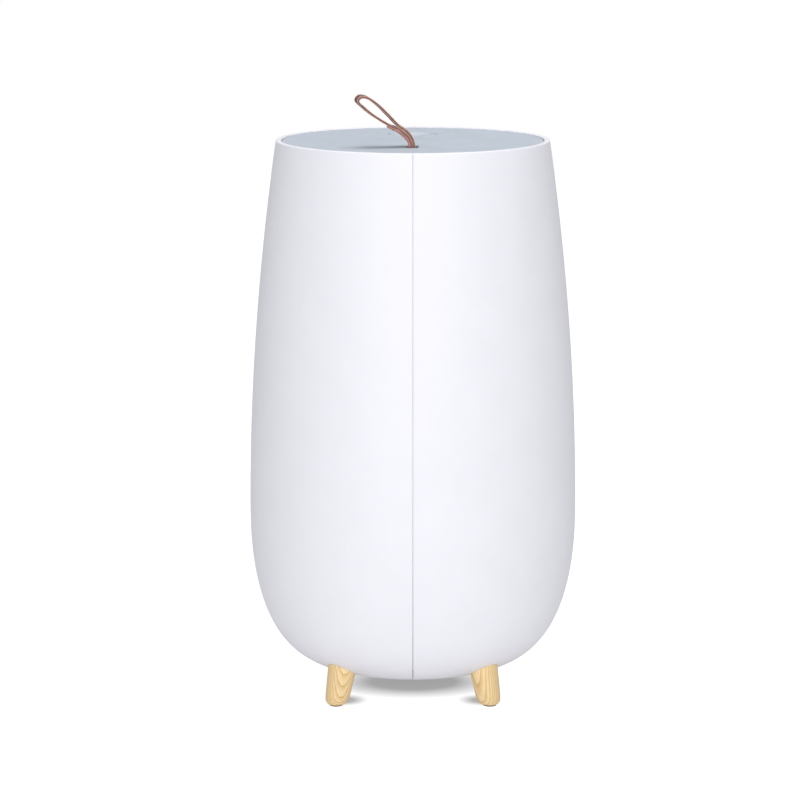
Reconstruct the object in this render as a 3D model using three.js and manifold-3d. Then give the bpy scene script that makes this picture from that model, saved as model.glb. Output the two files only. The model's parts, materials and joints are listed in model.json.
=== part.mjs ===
// A table-top cool mist humidifier: an egg-shaped two-part shell on four splayed wooden legs,
// a flush lid with a leather pull strap and a turning mist nozzle, a lift-out water tank with a
// mist chimney, and under it a basin with the ultrasonic transducer, a fan and the electronics.
// Millimetres, +Z up, origin on the floor under the middle of the body. The seam between the two
// shells lies in the plane x = 0, the push button is at the back left and the power inlet at +X.
import * as THREE from "three";
import { mergeVertices } from "three/addons/utils/BufferGeometryUtils.js";
import Module from "manifold-3d";

const wasm = await Module();
wasm.setup();

// ---------------------------------------------------------------- driving dimensions

const BODY_RADIUS = 105; // the widest circle
const WIDEST_Z = 117;
const RIM_Z = 355;
const RIM_RADIUS = 87;
const FLARE_POWER = 1.94; // how the side draws in from the widest circle up to the rim
const BOWL_DEPTH = 103.7; // how the side draws in below the widest circle
const BOWL_RADIUS_POWER = 4.55;
const BOWL_HEIGHT_POWER = 2.17;
const OPENING_RADIUS = 49; // the round opening under the bowl
const WALL = 3;
const GAP = 0.3; // between pieces that touch
const BODY_SEGMENTS = 40; // facets round the body
const RING_SEGMENTS = 32; // facets round the basin, tank and lid parts

const SEAM_HALF_GAP = 0.2;
const TONGUE_REACH = 3; // the left shell's tongue behind the seam
const TONGUE_DEPTH = 1.9; // from the outer face
const TONGUE_HEIGHTS = [27, 345];

const LEDGE_Z = 350; // the ledge under the lid
const LEDGE_RADIUS = 80.5;
const RIM_INNER_RADIUS = 83.6;
const SHELF_Z = 150; // the shelf that carries the basin
const SHELF_RADIUS = 92;

const LEG_ANGLES = [-130, -50, 50, 130]; // degrees round Z from +X
const LEG_FOOT_RADIUS = 76; // from the body's axis to the middle of a foot
const LEG_SPLAY = THREE.MathUtils.degToRad(15);
const LEG_RADIUS_AT_FLOOR = 7.3;
const LEG_TAPER = 0.076; // growth of the radius per mm of height
const PAD_RADIUS = 4.2;
const PAD_HEIGHT = 1.6;
const LEG_BOTTOM_Z = 0.8;

const PAN_BOTTOM_Z = 15.2;
const PAN_FLOOR_Z = 18.8;
const PAN_TOP_Z = 25;
const PAN_RADIUS = 61;
const GRILLE_RADIUS = 32.6;
const PAN_SCREW_ANGLES = [25, 155, 205, 335];
const PAN_SCREW_RADIUS = 55;

const MIST = [0, 39.5]; // x, y of the transducer, chimney and nozzle
const STRAP_Y = -40;
const VALVE = [0, -38];
const FLOAT_BEARING = -165.3; // degrees, from the valve to the float
const FLOAT_DISTANCE = 39.3;
const FLOAT_RADIUS = 9;
const PIVOT_DISTANCE = 12; // from the valve to the pin of the float's arm
const PIVOT_Z = 126;
const ARM_THICKNESS = 3;
const ARM_WIDTH = 4.4;
const PIN_RADIUS = 1.1;
const PLUNGER_TIP_Z = PIVOT_Z + ARM_THICKNESS / 2 + GAP;
const AIR_TOWER = [45, 10];

const BASIN_FLOOR_Z = 106;
const BASIN_FLOOR = 2.6;
const BASIN_RADIUS = 80;
const BASIN_WALL = 2.4;
const BASIN_LEDGE_Z = 139;
const BASIN_FLANGE_RADIUS = 99;
const BASIN_SCREW_RADIUS = 95.5;
const BASIN_SCREW_ANGLES = [45, 135, 225, 315];

const TOWER_RADIUS = 11;
const TOWER_TOP_Z = 132;
const TRANSDUCER_RADIUS = 10;
const HOLDER_BOTTOM_Z = 95;

const SEAT_TOP_Z = 144.5;
const SEAT_MOUTH_RADIUS = 4.2;
const CAGE_RADIUS = 11.8;
const CAGE_TOP_Z = 166.5;
const STEM_RADIUS = 2.4;
const WASHER_Z = 148; // the washer's underside with the valve open
const SPRING_RADIUS = 4.4;
const SPRING_WIRE_RADIUS = 0.5;
const SPRING_TURNS = 4;

const TANK_BOTTOM_Z = BASIN_LEDGE_Z + GAP;
const TANK_FLOOR = 2.7;
const CARRY_BAR = [-77, 77, -6, 6, 322, 331];
const TANK_TOP_Z = 340;
const TANK_RADIUS = 76.5;
const TANK_TOP_RADIUS = 78.8;
const TANK_WALL = 2.4;
const CHIMNEY_RADIUS = 17;
const CHIMNEY_TOP_RADIUS = 16;
const CHIMNEY_WALL = 2;
const CHIMNEY_BOTTOM_Z = 128;

const LID_TOP_Z = RIM_Z - 0.6;
const LID_THICKNESS = 3;
const LID_RADIUS = 83;
const LINER_TOP_Z = LID_TOP_Z - LID_THICKNESS - GAP;
const LINER_THICKNESS = 2.7;
const LINER_RADIUS = 80;
const SKIRT_BOTTOM_Z = 334;
const NOZZLE_RADIUS = 15.5;
const STRAP_SLOT = [7, 16]; // along x and y
const STRAP_WIDTH = 12;
const STRAP_THICKNESS = 1.9;
const STRAP_ROOT_X = -0.35; // the strap stands a little left of the slot's middle

const BUTTON_Z = 90;
const BUTTON_BEARING = 130; // degrees round Z from +X
const BUTTON_RADIUS = 9.1;
const BUTTON_FACE = 103.5; // from the body's axis
const BUTTON_CAP = 3.1; // its thickness
const BUTTON_STEM_RADIUS = 2.4;
const BUTTON_STEM_END = 97.5;
const RING_INNER_RADIUS = 9.4;
const RING_OUTER_RADIUS = 11;
const CONTROL_BOARD_FACE = 92; // from the body's axis to the side with the switch
const BOARD_THICKNESS = 1.6;
const SWITCH_SIZE = 6;
const JACK_Z = 45;
const BEZEL_RADIUS = 8.5;
const BEZEL_MOUTH_RADIUS = 6.6;
const JACK_NOSE_RADIUS = 4;
const JACK_BORE_RADIUS = 3.1;

const FAN_Z = 40; // the underside of the fan frame
const FAN_SIZE = 60;
const FAN_DEPTH = 15;
const FAN_BOLT = 25; // half the bolt spacing
const FAN_BORE_RADIUS = 28.5;
const FAN_HUB_RADIUS = 11;
const FAN_CUP_RADIUS = 12.5;
const BLADE_COUNT = 7;
const BLADE_REACH = 27.3;
const BLADE_PITCH = 0.9; // radians from flat
const BLADE_THICKNESS = 1.6;

const DUCT_RISE = 50;
const DUCT_LOW_RADIUS = 31;
const DUCT_HIGH_RADIUS = 12.6;
const DUCT_WALL = 1.6;

const DRIVER_BOARD = [-25, 25, 38, 72]; // x and y limits
const SINK = [-14, 14, 42, 62];
const FIN_POSITIONS = [-12, -6, 0, 6, 12];
const FIN_HEIGHT = 12;
const POWER_ROUTE = [[66.2, 0, 45], [60, 9, 45], [46, 34, 46], [30, 47, 47], [22, 48, 43.4]];
const FAN_ROUTE = [[-31.8, 12, 47], [-36, 20, 47], [-34, 38, 46], [-24, 47, 46], [-20, 48, 43.2]];
const MIST_ROUTE = [[8, 44, 92.8], [14, 52, 84], [20, 62, 64], [20, 64, 43.2]];

// ---------------------------------------------------------------- materials

const standard = (color, roughness, metalness = 0, opacity = 1) =>
  new THREE.MeshStandardMaterial({
    color,
    roughness,
    metalness,
    opacity,
    transparent: opacity < 1,
  });
const MATERIALS = {
  white: standard(0xf3f2f6, 0.42),
  lidGrey: standard(0xc9d2dc, 0.55),
  leather: standard(0x9a5f41, 0.7),
  wood: standard(0xe6b870, 0.6),
  rubber: standard(0x3a3a3c, 0.85),
  darkPlastic: standard(0x4b4d52, 0.6),
  greyPlastic: standard(0xa9abb0, 0.55),
  tank: standard(0xcfdbe4, 0.2, 0, 0.45),
  steel: standard(0xb9bbbe, 0.35, 0.9),
  aluminium: standard(0xc4c7cb, 0.4, 0.9),
  ceramic: standard(0xe8e2d2, 0.4),
  board: standard(0x1f5c3a, 0.5),
  silicone: standard(0xdfe3e6, 0.6),
  foam: standard(0x2c2d30, 0.95),
  light: standard(0xf4f8ff, 0.3),
  wire: standard(0x26262a, 0.6),
};

// ---------------------------------------------------------------- solids

function toManifold(geometry) {
  const bare = new THREE.BufferGeometry();
  bare.setAttribute("position", geometry.getAttribute("position"));
  if (geometry.index) bare.setIndex(geometry.index);
  const merged = mergeVertices(bare, 1e-4);
  const corners = [];
  const index = merged.index.array;
  for (let i = 0; i < index.length; i += 3) {
    const [a, b, c] = index.slice(i, i + 3);
    if (a !== b && b !== c && c !== a) corners.push(a, b, c);
  }
  const build = (triangles) =>
    new wasm.Manifold(
      new wasm.Mesh({
        numProp: 3,
        vertProperties: Float32Array.from(merged.attributes.position.array),
        triVerts: Uint32Array.from(triangles),
      }),
    );
  const made = build(corners);
  return made.volume() < 0 ? build(corners.reverse()) : made;
}

function toGeometry(manifold) {
  const mesh = manifold.getMesh();
  const geometry = new THREE.BufferGeometry();
  geometry.setAttribute(
    "position",
    new THREE.BufferAttribute(mesh.vertProperties, 3),
  );
  geometry.setIndex(new THREE.BufferAttribute(mesh.triVerts, 1));
  return geometry;
}

const combine = (method) => (first, ...others) =>
  toGeometry(
    others.reduce((sum, next) => sum[method](toManifold(next)), toManifold(first)),
  );
const join = combine("add");
const cut = combine("subtract");
const common = combine("intersect");

// A closed or axis-to-axis profile of [radius, z] points, turned round Z.
function turned(points, segments = 32) {
  const onAxis = points[0][0] === 0 && points.at(-1)[0] === 0;
  const profile = onAxis ? points : [...points, points[0]];
  return new THREE.LatheGeometry(
    profile.map(([r, z]) => new THREE.Vector2(r, z)),
    segments,
  ).rotateX(Math.PI / 2);
}

const disc = (radius, z0, z1, segments = 32) =>
  turned([[0, z0], [radius, z0], [radius, z1], [0, z1]], segments);
const tube = (inner, outer, z0, z1, segments = 32) =>
  turned([[inner, z0], [outer, z0], [outer, z1], [inner, z1]], segments);
const block = (x0, x1, y0, y1, z0, z1) =>
  new THREE.BoxGeometry(x1 - x0, y1 - y0, z1 - z0).translate(
    (x0 + x1) / 2,
    (y0 + y1) / 2,
    (z0 + z1) / 2,
  );
const CORNERS = [[-1, -1], [-1, 1], [1, -1], [1, 1]];
// Lays a piece made along Z down along +X, so that its z becomes the distance from the axis.
const alongX = (geometry) => geometry.rotateY(Math.PI / 2);
const around = (geometry, degrees) =>
  geometry.clone().rotateZ(THREE.MathUtils.degToRad(degrees));
const atButton = (geometry) => around(geometry.translate(0, 0, BUTTON_Z), BUTTON_BEARING);
const atJack = (geometry) => geometry.translate(0, 0, JACK_Z);

// A panhead screw standing on z = 0: its head goes up, its shank goes down.
function screw(shankRadius, shankLength, headRadius, headHeight) {
  return turned(
    [
      [0, -shankLength],
      [shankRadius, -shankLength],
      [shankRadius, 0],
      [headRadius, 0],
      [headRadius, headHeight * 0.6],
      [headRadius * 0.7, headHeight],
      [0, headHeight],
    ],
    8,
  );
}

function lead(points, radius, steps) {
  const section = new THREE.Shape();
  for (let i = 0; i < 8; i++) {
    const a = (i * Math.PI) / 4;
    const place = i ? "lineTo" : "moveTo";
    section[place](radius * Math.cos(a), radius * Math.sin(a));
  }
  section.closePath();
  return new THREE.ExtrudeGeometry(section, {
    steps,
    bevelEnabled: false,
    extrudePath: new THREE.CatmullRomCurve3(
      points.map((p) => new THREE.Vector3(...p)),
    ),
  });
}

// ---------------------------------------------------------------- the body's outer curve

// Runs from the opening (s = 0) through the widest circle (s = 1) to the rim (s = 2).
function bodyPoint(s) {
  if (s > 1) {
    const u = s - 1;
    const drawIn = (BODY_RADIUS - RIM_RADIUS) * u ** FLARE_POWER;
    return [BODY_RADIUS - drawIn, WIDEST_Z + (RIM_Z - WIDEST_Z) * u];
  }
  const start = Math.asin((OPENING_RADIUS / BODY_RADIUS) ** (BOWL_RADIUS_POWER / 2));
  const t = start + (Math.PI / 2 - start) * s;
  return [
    BODY_RADIUS * Math.sin(t) ** (2 / BOWL_RADIUS_POWER),
    WIDEST_Z - BOWL_DEPTH * Math.max(Math.cos(t), 0) ** (2 / BOWL_HEIGHT_POWER),
  ];
}

// The same curve moved into the body by inset, as [radius, z] points from the opening to the rim.
function bodyCurve(inset, bowlSteps = 8, sideSteps = 5) {
  const nudge = 1e-3;
  return Array.from({ length: bowlSteps + sideSteps + 1 }, (_, i) => {
    const s = i < bowlSteps ? i / bowlSteps : 1 + (i - bowlSteps) / sideSteps;
    const [r, z] = bodyPoint(s);
    const [r0, z0] = bodyPoint(Math.max(s - nudge, 0));
    const [r1, z1] = bodyPoint(Math.min(s + nudge, 2));
    const length = Math.hypot(r1 - r0, z1 - z0);
    return [r - (inset * (z1 - z0)) / length, z + (inset * (r1 - r0)) / length];
  });
}

// The radius of the inset curve at a height.
function bodyRadius(z, inset = 0) {
  const curve = bodyCurve(inset, 60, 60);
  const i = curve.findIndex((p) => p[1] >= z);
  const [r0, z0] = curve[i - 1];
  const [r1, z1] = curve[i];
  return r0 + ((r1 - r0) * (z - z0)) / (z1 - z0);
}

// The height of the faceted bowl's inset curve at a radius near the opening.
function innerBowlHeight(radius, inset) {
  const curve = bodyCurve(inset);
  const i = curve.findIndex(([r]) => r >= radius);
  if (i === 0) return curve[0][1];
  const [r0, z0] = curve[i - 1];
  const [r1, z1] = curve[i];
  return z0 + ((z1 - z0) * (radius - r0)) / (r1 - r0);
}

// The height of the outer bowl at a radius.
const bowlHeight = (r) =>
  WIDEST_Z -
  BOWL_DEPTH * (1 - (r / BODY_RADIUS) ** BOWL_RADIUS_POWER) ** (1 / BOWL_HEIGHT_POWER);

// ---------------------------------------------------------------- legs

const legAxisLength = (z) => z / Math.cos(LEG_SPLAY);
// Stands a piece made along Z in the place of a leg that lies along +X from the body's axis.
const onLegAxis = (geometry) =>
  geometry.rotateY(-LEG_SPLAY).translate(LEG_FOOT_RADIUS, 0, 0);

const LEG_SCREW_SEAT = legAxisLength(bowlHeight(LEG_FOOT_RADIUS - 6)) + WALL + 2.8;
const LEG_SCREW_LENGTH = 18;

function legGeometry() {
  const below = -6;
  const above = 48;
  const radius = (z) => LEG_RADIUS_AT_FLOOR + LEG_TAPER * z;
  const stick = onLegAxis(
    turned([[0, below], [radius(below), below], [radius(above), above], [0, above]], 20),
  );
  const roundedFoot = turned(
    [[0, LEG_BOTTOM_Z], [5, LEG_BOTTOM_Z], [6.9, 2], [8, 4.6], [30, 70], [0, 70]],
    20,
  ).translate(LEG_FOOT_RADIUS - 0.4, 0, 0);
  const body = turned([[0, 0], ...bodyCurve(-GAP), [0, RIM_Z]], BODY_SEGMENTS);
  const padRecess = disc(PAD_RADIUS + GAP, -1, PAD_HEIGHT + GAP, 20).translate(
    LEG_FOOT_RADIUS,
    0,
    0,
  );
  const screwHole = onLegAxis(
    disc(2 + GAP, LEG_SCREW_SEAT - LEG_SCREW_LENGTH - 1, above + 1, 8),
  );
  const footCut = join(block(0, 200, -60, 60, -20, LEG_BOTTOM_Z), padRecess);
  return cut(common(stick, roundedFoot), body, footCut, screwHole);
}

function addLegs(housing) {
  const leg = legGeometry();
  const legScrew = onLegAxis(
    screw(2, LEG_SCREW_LENGTH, 4, 2.4).translate(0, 0, LEG_SCREW_SEAT),
  );
  const pad = disc(PAD_RADIUS, 0, PAD_HEIGHT, 20).translate(LEG_FOOT_RADIUS, 0, 0);
  LEG_ANGLES.forEach((degrees, i) => {
    const corner = new THREE.Group();
    corner.rotation.z = THREE.MathUtils.degToRad(degrees);
    add(corner, `leg_${i + 1}`, leg, "wood");
    add(corner, `leg_screw_${i + 1}`, legScrew, "steel");
    add(corner, `foot_pad_${i + 1}`, pad, "rubber");
    housing.add(corner);
  });
}

// ---------------------------------------------------------------- shells

function shellSolid() {
  const inner = bodyCurve(WALL).reverse();
  const between = (low, high) => inner.filter(([, z]) => z < high && z > low);
  const profile = [
    ...bodyCurve(0),
    [RIM_INNER_RADIUS, RIM_Z],
    [RIM_INNER_RADIUS, LEDGE_Z],
    [LEDGE_RADIUS, LEDGE_Z],
    [LEDGE_RADIUS, LEDGE_Z - 2.5],
    [bodyRadius(LEDGE_Z - 8, WALL), LEDGE_Z - 8],
    ...between(SHELF_Z + 4, LEDGE_Z - 12),
    [bodyRadius(SHELF_Z, WALL), SHELF_Z],
    [SHELF_RADIUS, SHELF_Z],
    [SHELF_RADIUS, SHELF_Z - 4],
    [bodyRadius(SHELF_Z - 10, WALL), SHELF_Z - 10],
    ...between(0, SHELF_Z - 14),
  ];
  const legHoles = LEG_ANGLES.map((degrees) =>
    around(onLegAxis(disc(2.5, 10, 50, 8)), degrees),
  );
  const panHoles = PAN_SCREW_ANGLES.flatMap((degrees) => [
    around(disc(1.9, 5, 30, 8).translate(PAN_SCREW_RADIUS, 0, 0), degrees),
    around(disc(3.5, 5, 17.9, 8).translate(PAN_SCREW_RADIUS, 0, 0), degrees),
  ]);
  const basinHoles = BASIN_SCREW_ANGLES.map((degrees) =>
    around(disc(1.9, 140, 160, 8).translate(BASIN_SCREW_RADIUS, 0, 0), degrees),
  );
  return cut(turned(profile, BODY_SEGMENTS), ...legHoles, ...panHoles, ...basinHoles);
}

// A band inside the wall, along the seam on both sides of the body, between x0 and x1.
function seamBand(outerInset, innerInset, low, high, x0, x1) {
  const profile = [...bodyCurve(outerInset), ...bodyCurve(innerInset).reverse()];
  return common(
    turned(profile, BODY_SEGMENTS),
    block(x0, x1, -120, 120, low, high),
  );
}

function addShells(housing) {
  const shell = shellSolid();
  const [low, high] = TONGUE_HEIGHTS;
  const tongue = seamBand(TONGUE_DEPTH, WALL, low, high, -TONGUE_REACH, TONGUE_REACH);
  const rebate = seamBand(
    TONGUE_DEPTH - GAP,
    WALL + 0.6,
    low - GAP,
    high + GAP,
    -1,
    TONGUE_REACH + GAP,
  );
  const buttonHole = atButton(alongX(disc(RING_OUTER_RADIUS + GAP, 95, 110, 32)));
  const boardPosts = [-14, 14].map((y) =>
    atButton(alongX(disc(2.5, CONTROL_BOARD_FACE + GAP, 100, 12)).translate(0, y, -12)),
  );
  const left = cut(shell, block(-SEAM_HALF_GAP, 200, -200, 200, -10, 400));
  add(housing, "left_shell", cut(join(left, tongue, ...boardPosts), buttonHole), "white");

  const jackHole = atJack(alongX(disc(BEZEL_RADIUS + 0.4, 75, 100, 24)));
  const right = cut(shell, block(-200, SEAM_HALF_GAP, -200, 200, -10, 400));
  add(housing, "right_shell", cut(right, rebate, jackHole), "white");
}

// ---------------------------------------------------------------- base pan, grille and filter

function addBase(housing) {
  const flangeBottom = (r) => innerBowlHeight(r, WALL) + GAP + 0.3;
  const dish = turned(
    [
      [GRILLE_RADIUS + GAP, PAN_BOTTOM_Z],
      [OPENING_RADIUS - 0.9, PAN_BOTTOM_Z],
      [OPENING_RADIUS - 0.9, flangeBottom(OPENING_RADIUS)],
      [55, flangeBottom(55)],
      [PAN_RADIUS, flangeBottom(PAN_RADIUS)],
      [PAN_RADIUS, PAN_TOP_Z],
      [44, PAN_TOP_Z],
      [44, PAN_FLOOR_Z],
      [GRILLE_RADIUS + GAP, PAN_FLOOR_Z],
    ],
    RING_SEGMENTS,
  );
  const fanPosts = CORNERS.map(([x, y]) =>
    disc(3.5, PAN_FLOOR_Z - 0.7, FAN_Z - GAP, 12).translate(x * FAN_BOLT, y * FAN_BOLT, 0),
  );
  const boardPosts = [[-20, 46], [20, 46], [-20, 55], [20, 55]].map(([x, y]) =>
    disc(2.4, 22, FAN_Z - GAP, 8).translate(x, y, 0),
  );
  const screwHoles = PAN_SCREW_ANGLES.map((degrees) =>
    around(disc(1.5 + GAP, 10, 23.6, 8).translate(PAN_SCREW_RADIUS, 0, 0), degrees),
  );
  const pan = cut(join(dish, ...fanPosts, ...boardPosts), ...screwHoles);
  add(housing, "base_pan", pan, "greyPlastic");

  const slots = Array.from({ length: 9 }, (_, i) => {
    const x = (i - 4) * 6.2;
    const half = Math.sqrt(28.5 ** 2 - x ** 2);
    return block(x - 1.5, x + 1.5, -half, half, 10, 20);
  });
  const plate = disc(GRILLE_RADIUS, PAN_BOTTOM_Z, 17.6, RING_SEGMENTS);
  add(housing, "inlet_grille", cut(plate, ...slots), "greyPlastic");
  add(housing, "dust_filter", disc(31, 18, 20.5, 32), "foam");

  const panScrew = screw(1.5, 5.2, 3.1, 1.4).rotateX(Math.PI);
  PAN_SCREW_ANGLES.forEach((degrees, i) => {
    const place = around(
      panScrew.clone().translate(PAN_SCREW_RADIUS, 0, 17.7),
      degrees,
    );
    add(housing, `pan_screw_${i + 1}`, place, "steel");
  });
}

// ---------------------------------------------------------------- basin, float and transducer

function addBasin(housing) {
  const inner = BASIN_RADIUS - BASIN_WALL;
  const floorTop = BASIN_FLOOR_Z + BASIN_FLOOR;
  const flangeZ = SHELF_Z + GAP;
  const bowl = turned(
    [
      [0, BASIN_FLOOR_Z],
      [BASIN_RADIUS, BASIN_FLOOR_Z],
      [BASIN_RADIUS, flangeZ],
      [BASIN_FLANGE_RADIUS, flangeZ],
      [BASIN_FLANGE_RADIUS, flangeZ + 2.6],
      [inner, flangeZ + 2.6],
      [inner, BASIN_LEDGE_Z],
      [71, BASIN_LEDGE_Z],
      [71, BASIN_LEDGE_Z - 2],
      [inner, BASIN_LEDGE_Z - 8],
      [inner, floorTop],
      [0, floorTop],
    ],
    RING_SEGMENTS,
  );
  const towerBore = TOWER_RADIUS - 2;
  const tower = tube(towerBore, TOWER_RADIUS, BASIN_FLOOR_Z + 1, TOWER_TOP_Z, 24).translate(
    ...AIR_TOWER,
    0,
  );
  const bearings = [-1, 1].map((side) =>
    atFloatArm(
      block(-2.5, 2.5, side * 4 - 1.1, side * 4 + 1.1, BASIN_FLOOR_Z + 1, PIVOT_Z + 4).translate(
        PIVOT_DISTANCE,
        0,
        0,
      ),
    ),
  );
  const airHole = disc(towerBore, 100, 112, 24).translate(...AIR_TOWER, 0);
  const mistHole = disc(TRANSDUCER_RADIUS, 100, 112, 24).translate(...MIST, 0);
  const screwHoles = BASIN_SCREW_ANGLES.map((degrees) =>
    around(disc(1.9, 145, 160, 8).translate(BASIN_SCREW_RADIUS, 0, 0), degrees),
  );
  const basin = cut(
    join(cut(bowl, airHole, mistHole), tower, ...bearings),
    ...screwHoles,
    floatPin(PIN_RADIUS + GAP, 8),
  );
  add(housing, "basin", basin, "white");

  const basinScrew = screw(1.5, 8.5, 3, 2);
  BASIN_SCREW_ANGLES.forEach((degrees, i) => {
    const seat = flangeZ + 2.6 + GAP;
    const place = around(basinScrew.clone().translate(BASIN_SCREW_RADIUS, 0, seat), degrees);
    add(housing, `basin_screw_${i + 1}`, place, "steel");
  });

  add(housing, "float_pin", floatPin(PIN_RADIUS, 5), "steel");
}

// Turns a piece made with the float's arm lying along +X from the valve into its place.
const atFloatArm = (geometry) => around(geometry, FLOAT_BEARING).translate(...VALVE, 0);

const floatPin = (radius, halfLength) =>
  atFloatArm(
    disc(radius, -halfLength, halfLength, 12)
      .rotateX(Math.PI / 2)
      .translate(PIVOT_DISTANCE, 0, PIVOT_Z),
  );

// The float hangs under one end of its arm. The other end holds the valve's plunger up until the
// water in the basin lifts the float.
function addFloat(floatBody) {
  const half = ARM_WIDTH / 2;
  const armLow = PIVOT_Z - ARM_THICKNESS / 2;
  const bar = block(-3, FLOAT_DISTANCE + half, -half, half, armLow, armLow + ARM_THICKNESS);
  const boss = disc(3.2, -2.5, 2.5, 16).rotateX(Math.PI / 2).translate(PIVOT_DISTANCE, 0, PIVOT_Z);
  const peg = disc(2, 118, armLow + 1, 12).translate(FLOAT_DISTANCE, 0, 0);
  const arm = atFloatArm(join(bar, boss, peg));
  add(floatBody, "float_arm", cut(arm, floatPin(PIN_RADIUS + GAP, 8)), "white");

  const onFloat = (geometry) => atFloatArm(geometry.translate(FLOAT_DISTANCE, 0, 0));
  const cork = disc(FLOAT_RADIUS, 109.2, armLow - GAP, 24);
  const pegHole = disc(2 + GAP, 118 - GAP, 130, 12);
  const magnetRecess = tube(4.6, 8.4, 100, 112.3, 16);
  add(floatBody, "level_float", onFloat(cut(cork, pegHole, magnetRecess)), "foam");
  add(floatBody, "float_magnet", onFloat(tube(4.9, 8.1, 109.4, 112, 16)), "steel");
}

function addTransducer(housing) {
  const place = (geometry) => geometry.translate(...MIST, 0);
  const top = BASIN_FLOOR_Z - GAP;
  const holder = turned(
    [[8, HOLDER_BOTTOM_Z], [16, HOLDER_BOTTOM_Z], [16, top], [12.6, top], [12.6, top - 4], [8, top - 4]],
    20,
  );
  const seal = turned(
    [
      [8.4, top - 3.7],
      [12.2, top - 3.7],
      [12.2, top - 0.1],
      [8.4, top - 0.1],
      [8.4, top - 1.3],
      [10.4, top - 1.3],
      [10.4, top - 2.5],
      [8.4, top - 2.5],
    ],
    20,
  );
  add(housing, "transducer_holder", place(holder), "aluminium");
  add(housing, "transducer_seal", place(seal), "silicone");
  const plate = disc(TRANSDUCER_RADIUS + 0.1, top - 2.2, top - 1.6, 20);
  add(housing, "transducer_disc", place(plate), "ceramic");
}

// ---------------------------------------------------------------- fan and electronics

function addFan(housing, rotorBody) {
  const half = FAN_SIZE / 2;
  const top = FAN_Z + FAN_DEPTH;
  const frame = block(-half, half, -half, half, FAN_Z, top);
  const bore = disc(FAN_BORE_RADIUS, FAN_Z - 1, top + 1, 32);
  const boltHoles = CORNERS.map(([x, y]) =>
    disc(2.2, FAN_Z - 1, top + 1, 10).translate(x * FAN_BOLT, y * FAN_BOLT, 0),
  );
  const struts = [0, 120, 240].map((degrees) =>
    around(block(8, FAN_BORE_RADIUS + 1, -1.5, 1.5, FAN_Z, FAN_Z + 2), degrees),
  );
  const hub = disc(FAN_HUB_RADIUS, FAN_Z, FAN_Z + 2, 24);
  const frameAndStruts = join(cut(frame, bore, ...boltHoles), hub, ...struts);
  add(housing, "fan_frame", frameAndStruts, "darkPlastic");

  const sweep = tube(10, BLADE_REACH, FAN_Z + 3, top - 1.5, 32);
  const slab = block(8, 30, -BLADE_THICKNESS / 2, BLADE_THICKNESS / 2, -12, 12)
    .rotateX(BLADE_PITCH)
    .translate(0, 0, FAN_Z + 8);
  const blades = Array.from({ length: BLADE_COUNT }, (_, i) =>
    common(around(slab, (i * 360) / BLADE_COUNT), sweep),
  );
  const cup = disc(FAN_CUP_RADIUS, FAN_Z + 2.5, top - 2, 28);
  add(rotorBody, "fan_rotor", join(cup, ...blades), "darkPlastic");
}

// The duct leans from the fan over to the air tower.
function addDuct(housing) {
  const cone = (low, high) =>
    turned([[0, 0], [low, 0], [high, DUCT_RISE], [0, DUCT_RISE]], 32);
  const lowBore = DUCT_LOW_RADIUS - DUCT_WALL;
  const bore = join(cone(lowBore, DUCT_HIGH_RADIUS - DUCT_WALL), disc(lowBore, -1, 0.1, 32));
  const lean = new THREE.Matrix4();
  lean.elements[8] = AIR_TOWER[0] / DUCT_RISE;
  lean.elements[9] = AIR_TOWER[1] / DUCT_RISE;
  const duct = cut(cone(DUCT_LOW_RADIUS, DUCT_HIGH_RADIUS), bore).applyMatrix4(lean);
  add(housing, "air_duct", duct.translate(0, 0, FAN_Z + FAN_DEPTH + GAP), "greyPlastic");
}

function addElectronics(housing, buttonBody) {
  const driver = block(...DRIVER_BOARD, FAN_Z, FAN_Z + BOARD_THICKNESS);
  add(housing, "driver_board", driver, "board");
  const sinkZ = FAN_Z + BOARD_THICKNESS + GAP;
  const fins = FIN_POSITIONS.map((x) =>
    block(x - 1, x + 1, SINK[2], SINK[3], sinkZ, sinkZ + FIN_HEIGHT),
  );
  add(housing, "heat_sink", join(block(...SINK, sinkZ, sinkZ + 2), ...fins), "aluminium");

  const back = CONTROL_BOARD_FACE - BOARD_THICKNESS;
  const control = block(back, CONTROL_BOARD_FACE, -18, 18, -17, 13);
  add(housing, "control_board", atButton(control), "board");
  const half = SWITCH_SIZE / 2;
  const switchBack = CONTROL_BOARD_FACE + GAP;
  const switchBody = block(switchBack, 95, -half, half, -half, half);
  const switchTip = alongX(disc(1.7, 94, 96, 12));
  add(housing, "button_switch", atButton(join(switchBody, switchTip)), "darkPlastic");
  const ring = tube(RING_INNER_RADIUS, RING_OUTER_RADIUS, 99, BUTTON_FACE - 0.2, 28);
  add(housing, "light_ring", atButton(alongX(ring)), "light");

  const cap = turned(
    [
      [0, BUTTON_STEM_END],
      [BUTTON_STEM_RADIUS, BUTTON_STEM_END],
      [BUTTON_STEM_RADIUS, BUTTON_FACE - BUTTON_CAP],
      [BUTTON_RADIUS, BUTTON_FACE - BUTTON_CAP],
      [BUTTON_RADIUS, BUTTON_FACE - 0.6],
      [BUTTON_RADIUS - 0.6, BUTTON_FACE],
      [0, BUTTON_FACE],
    ],
    28,
  );
  add(buttonBody, "power_button", atButton(alongX(cap)), "white");
}

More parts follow.
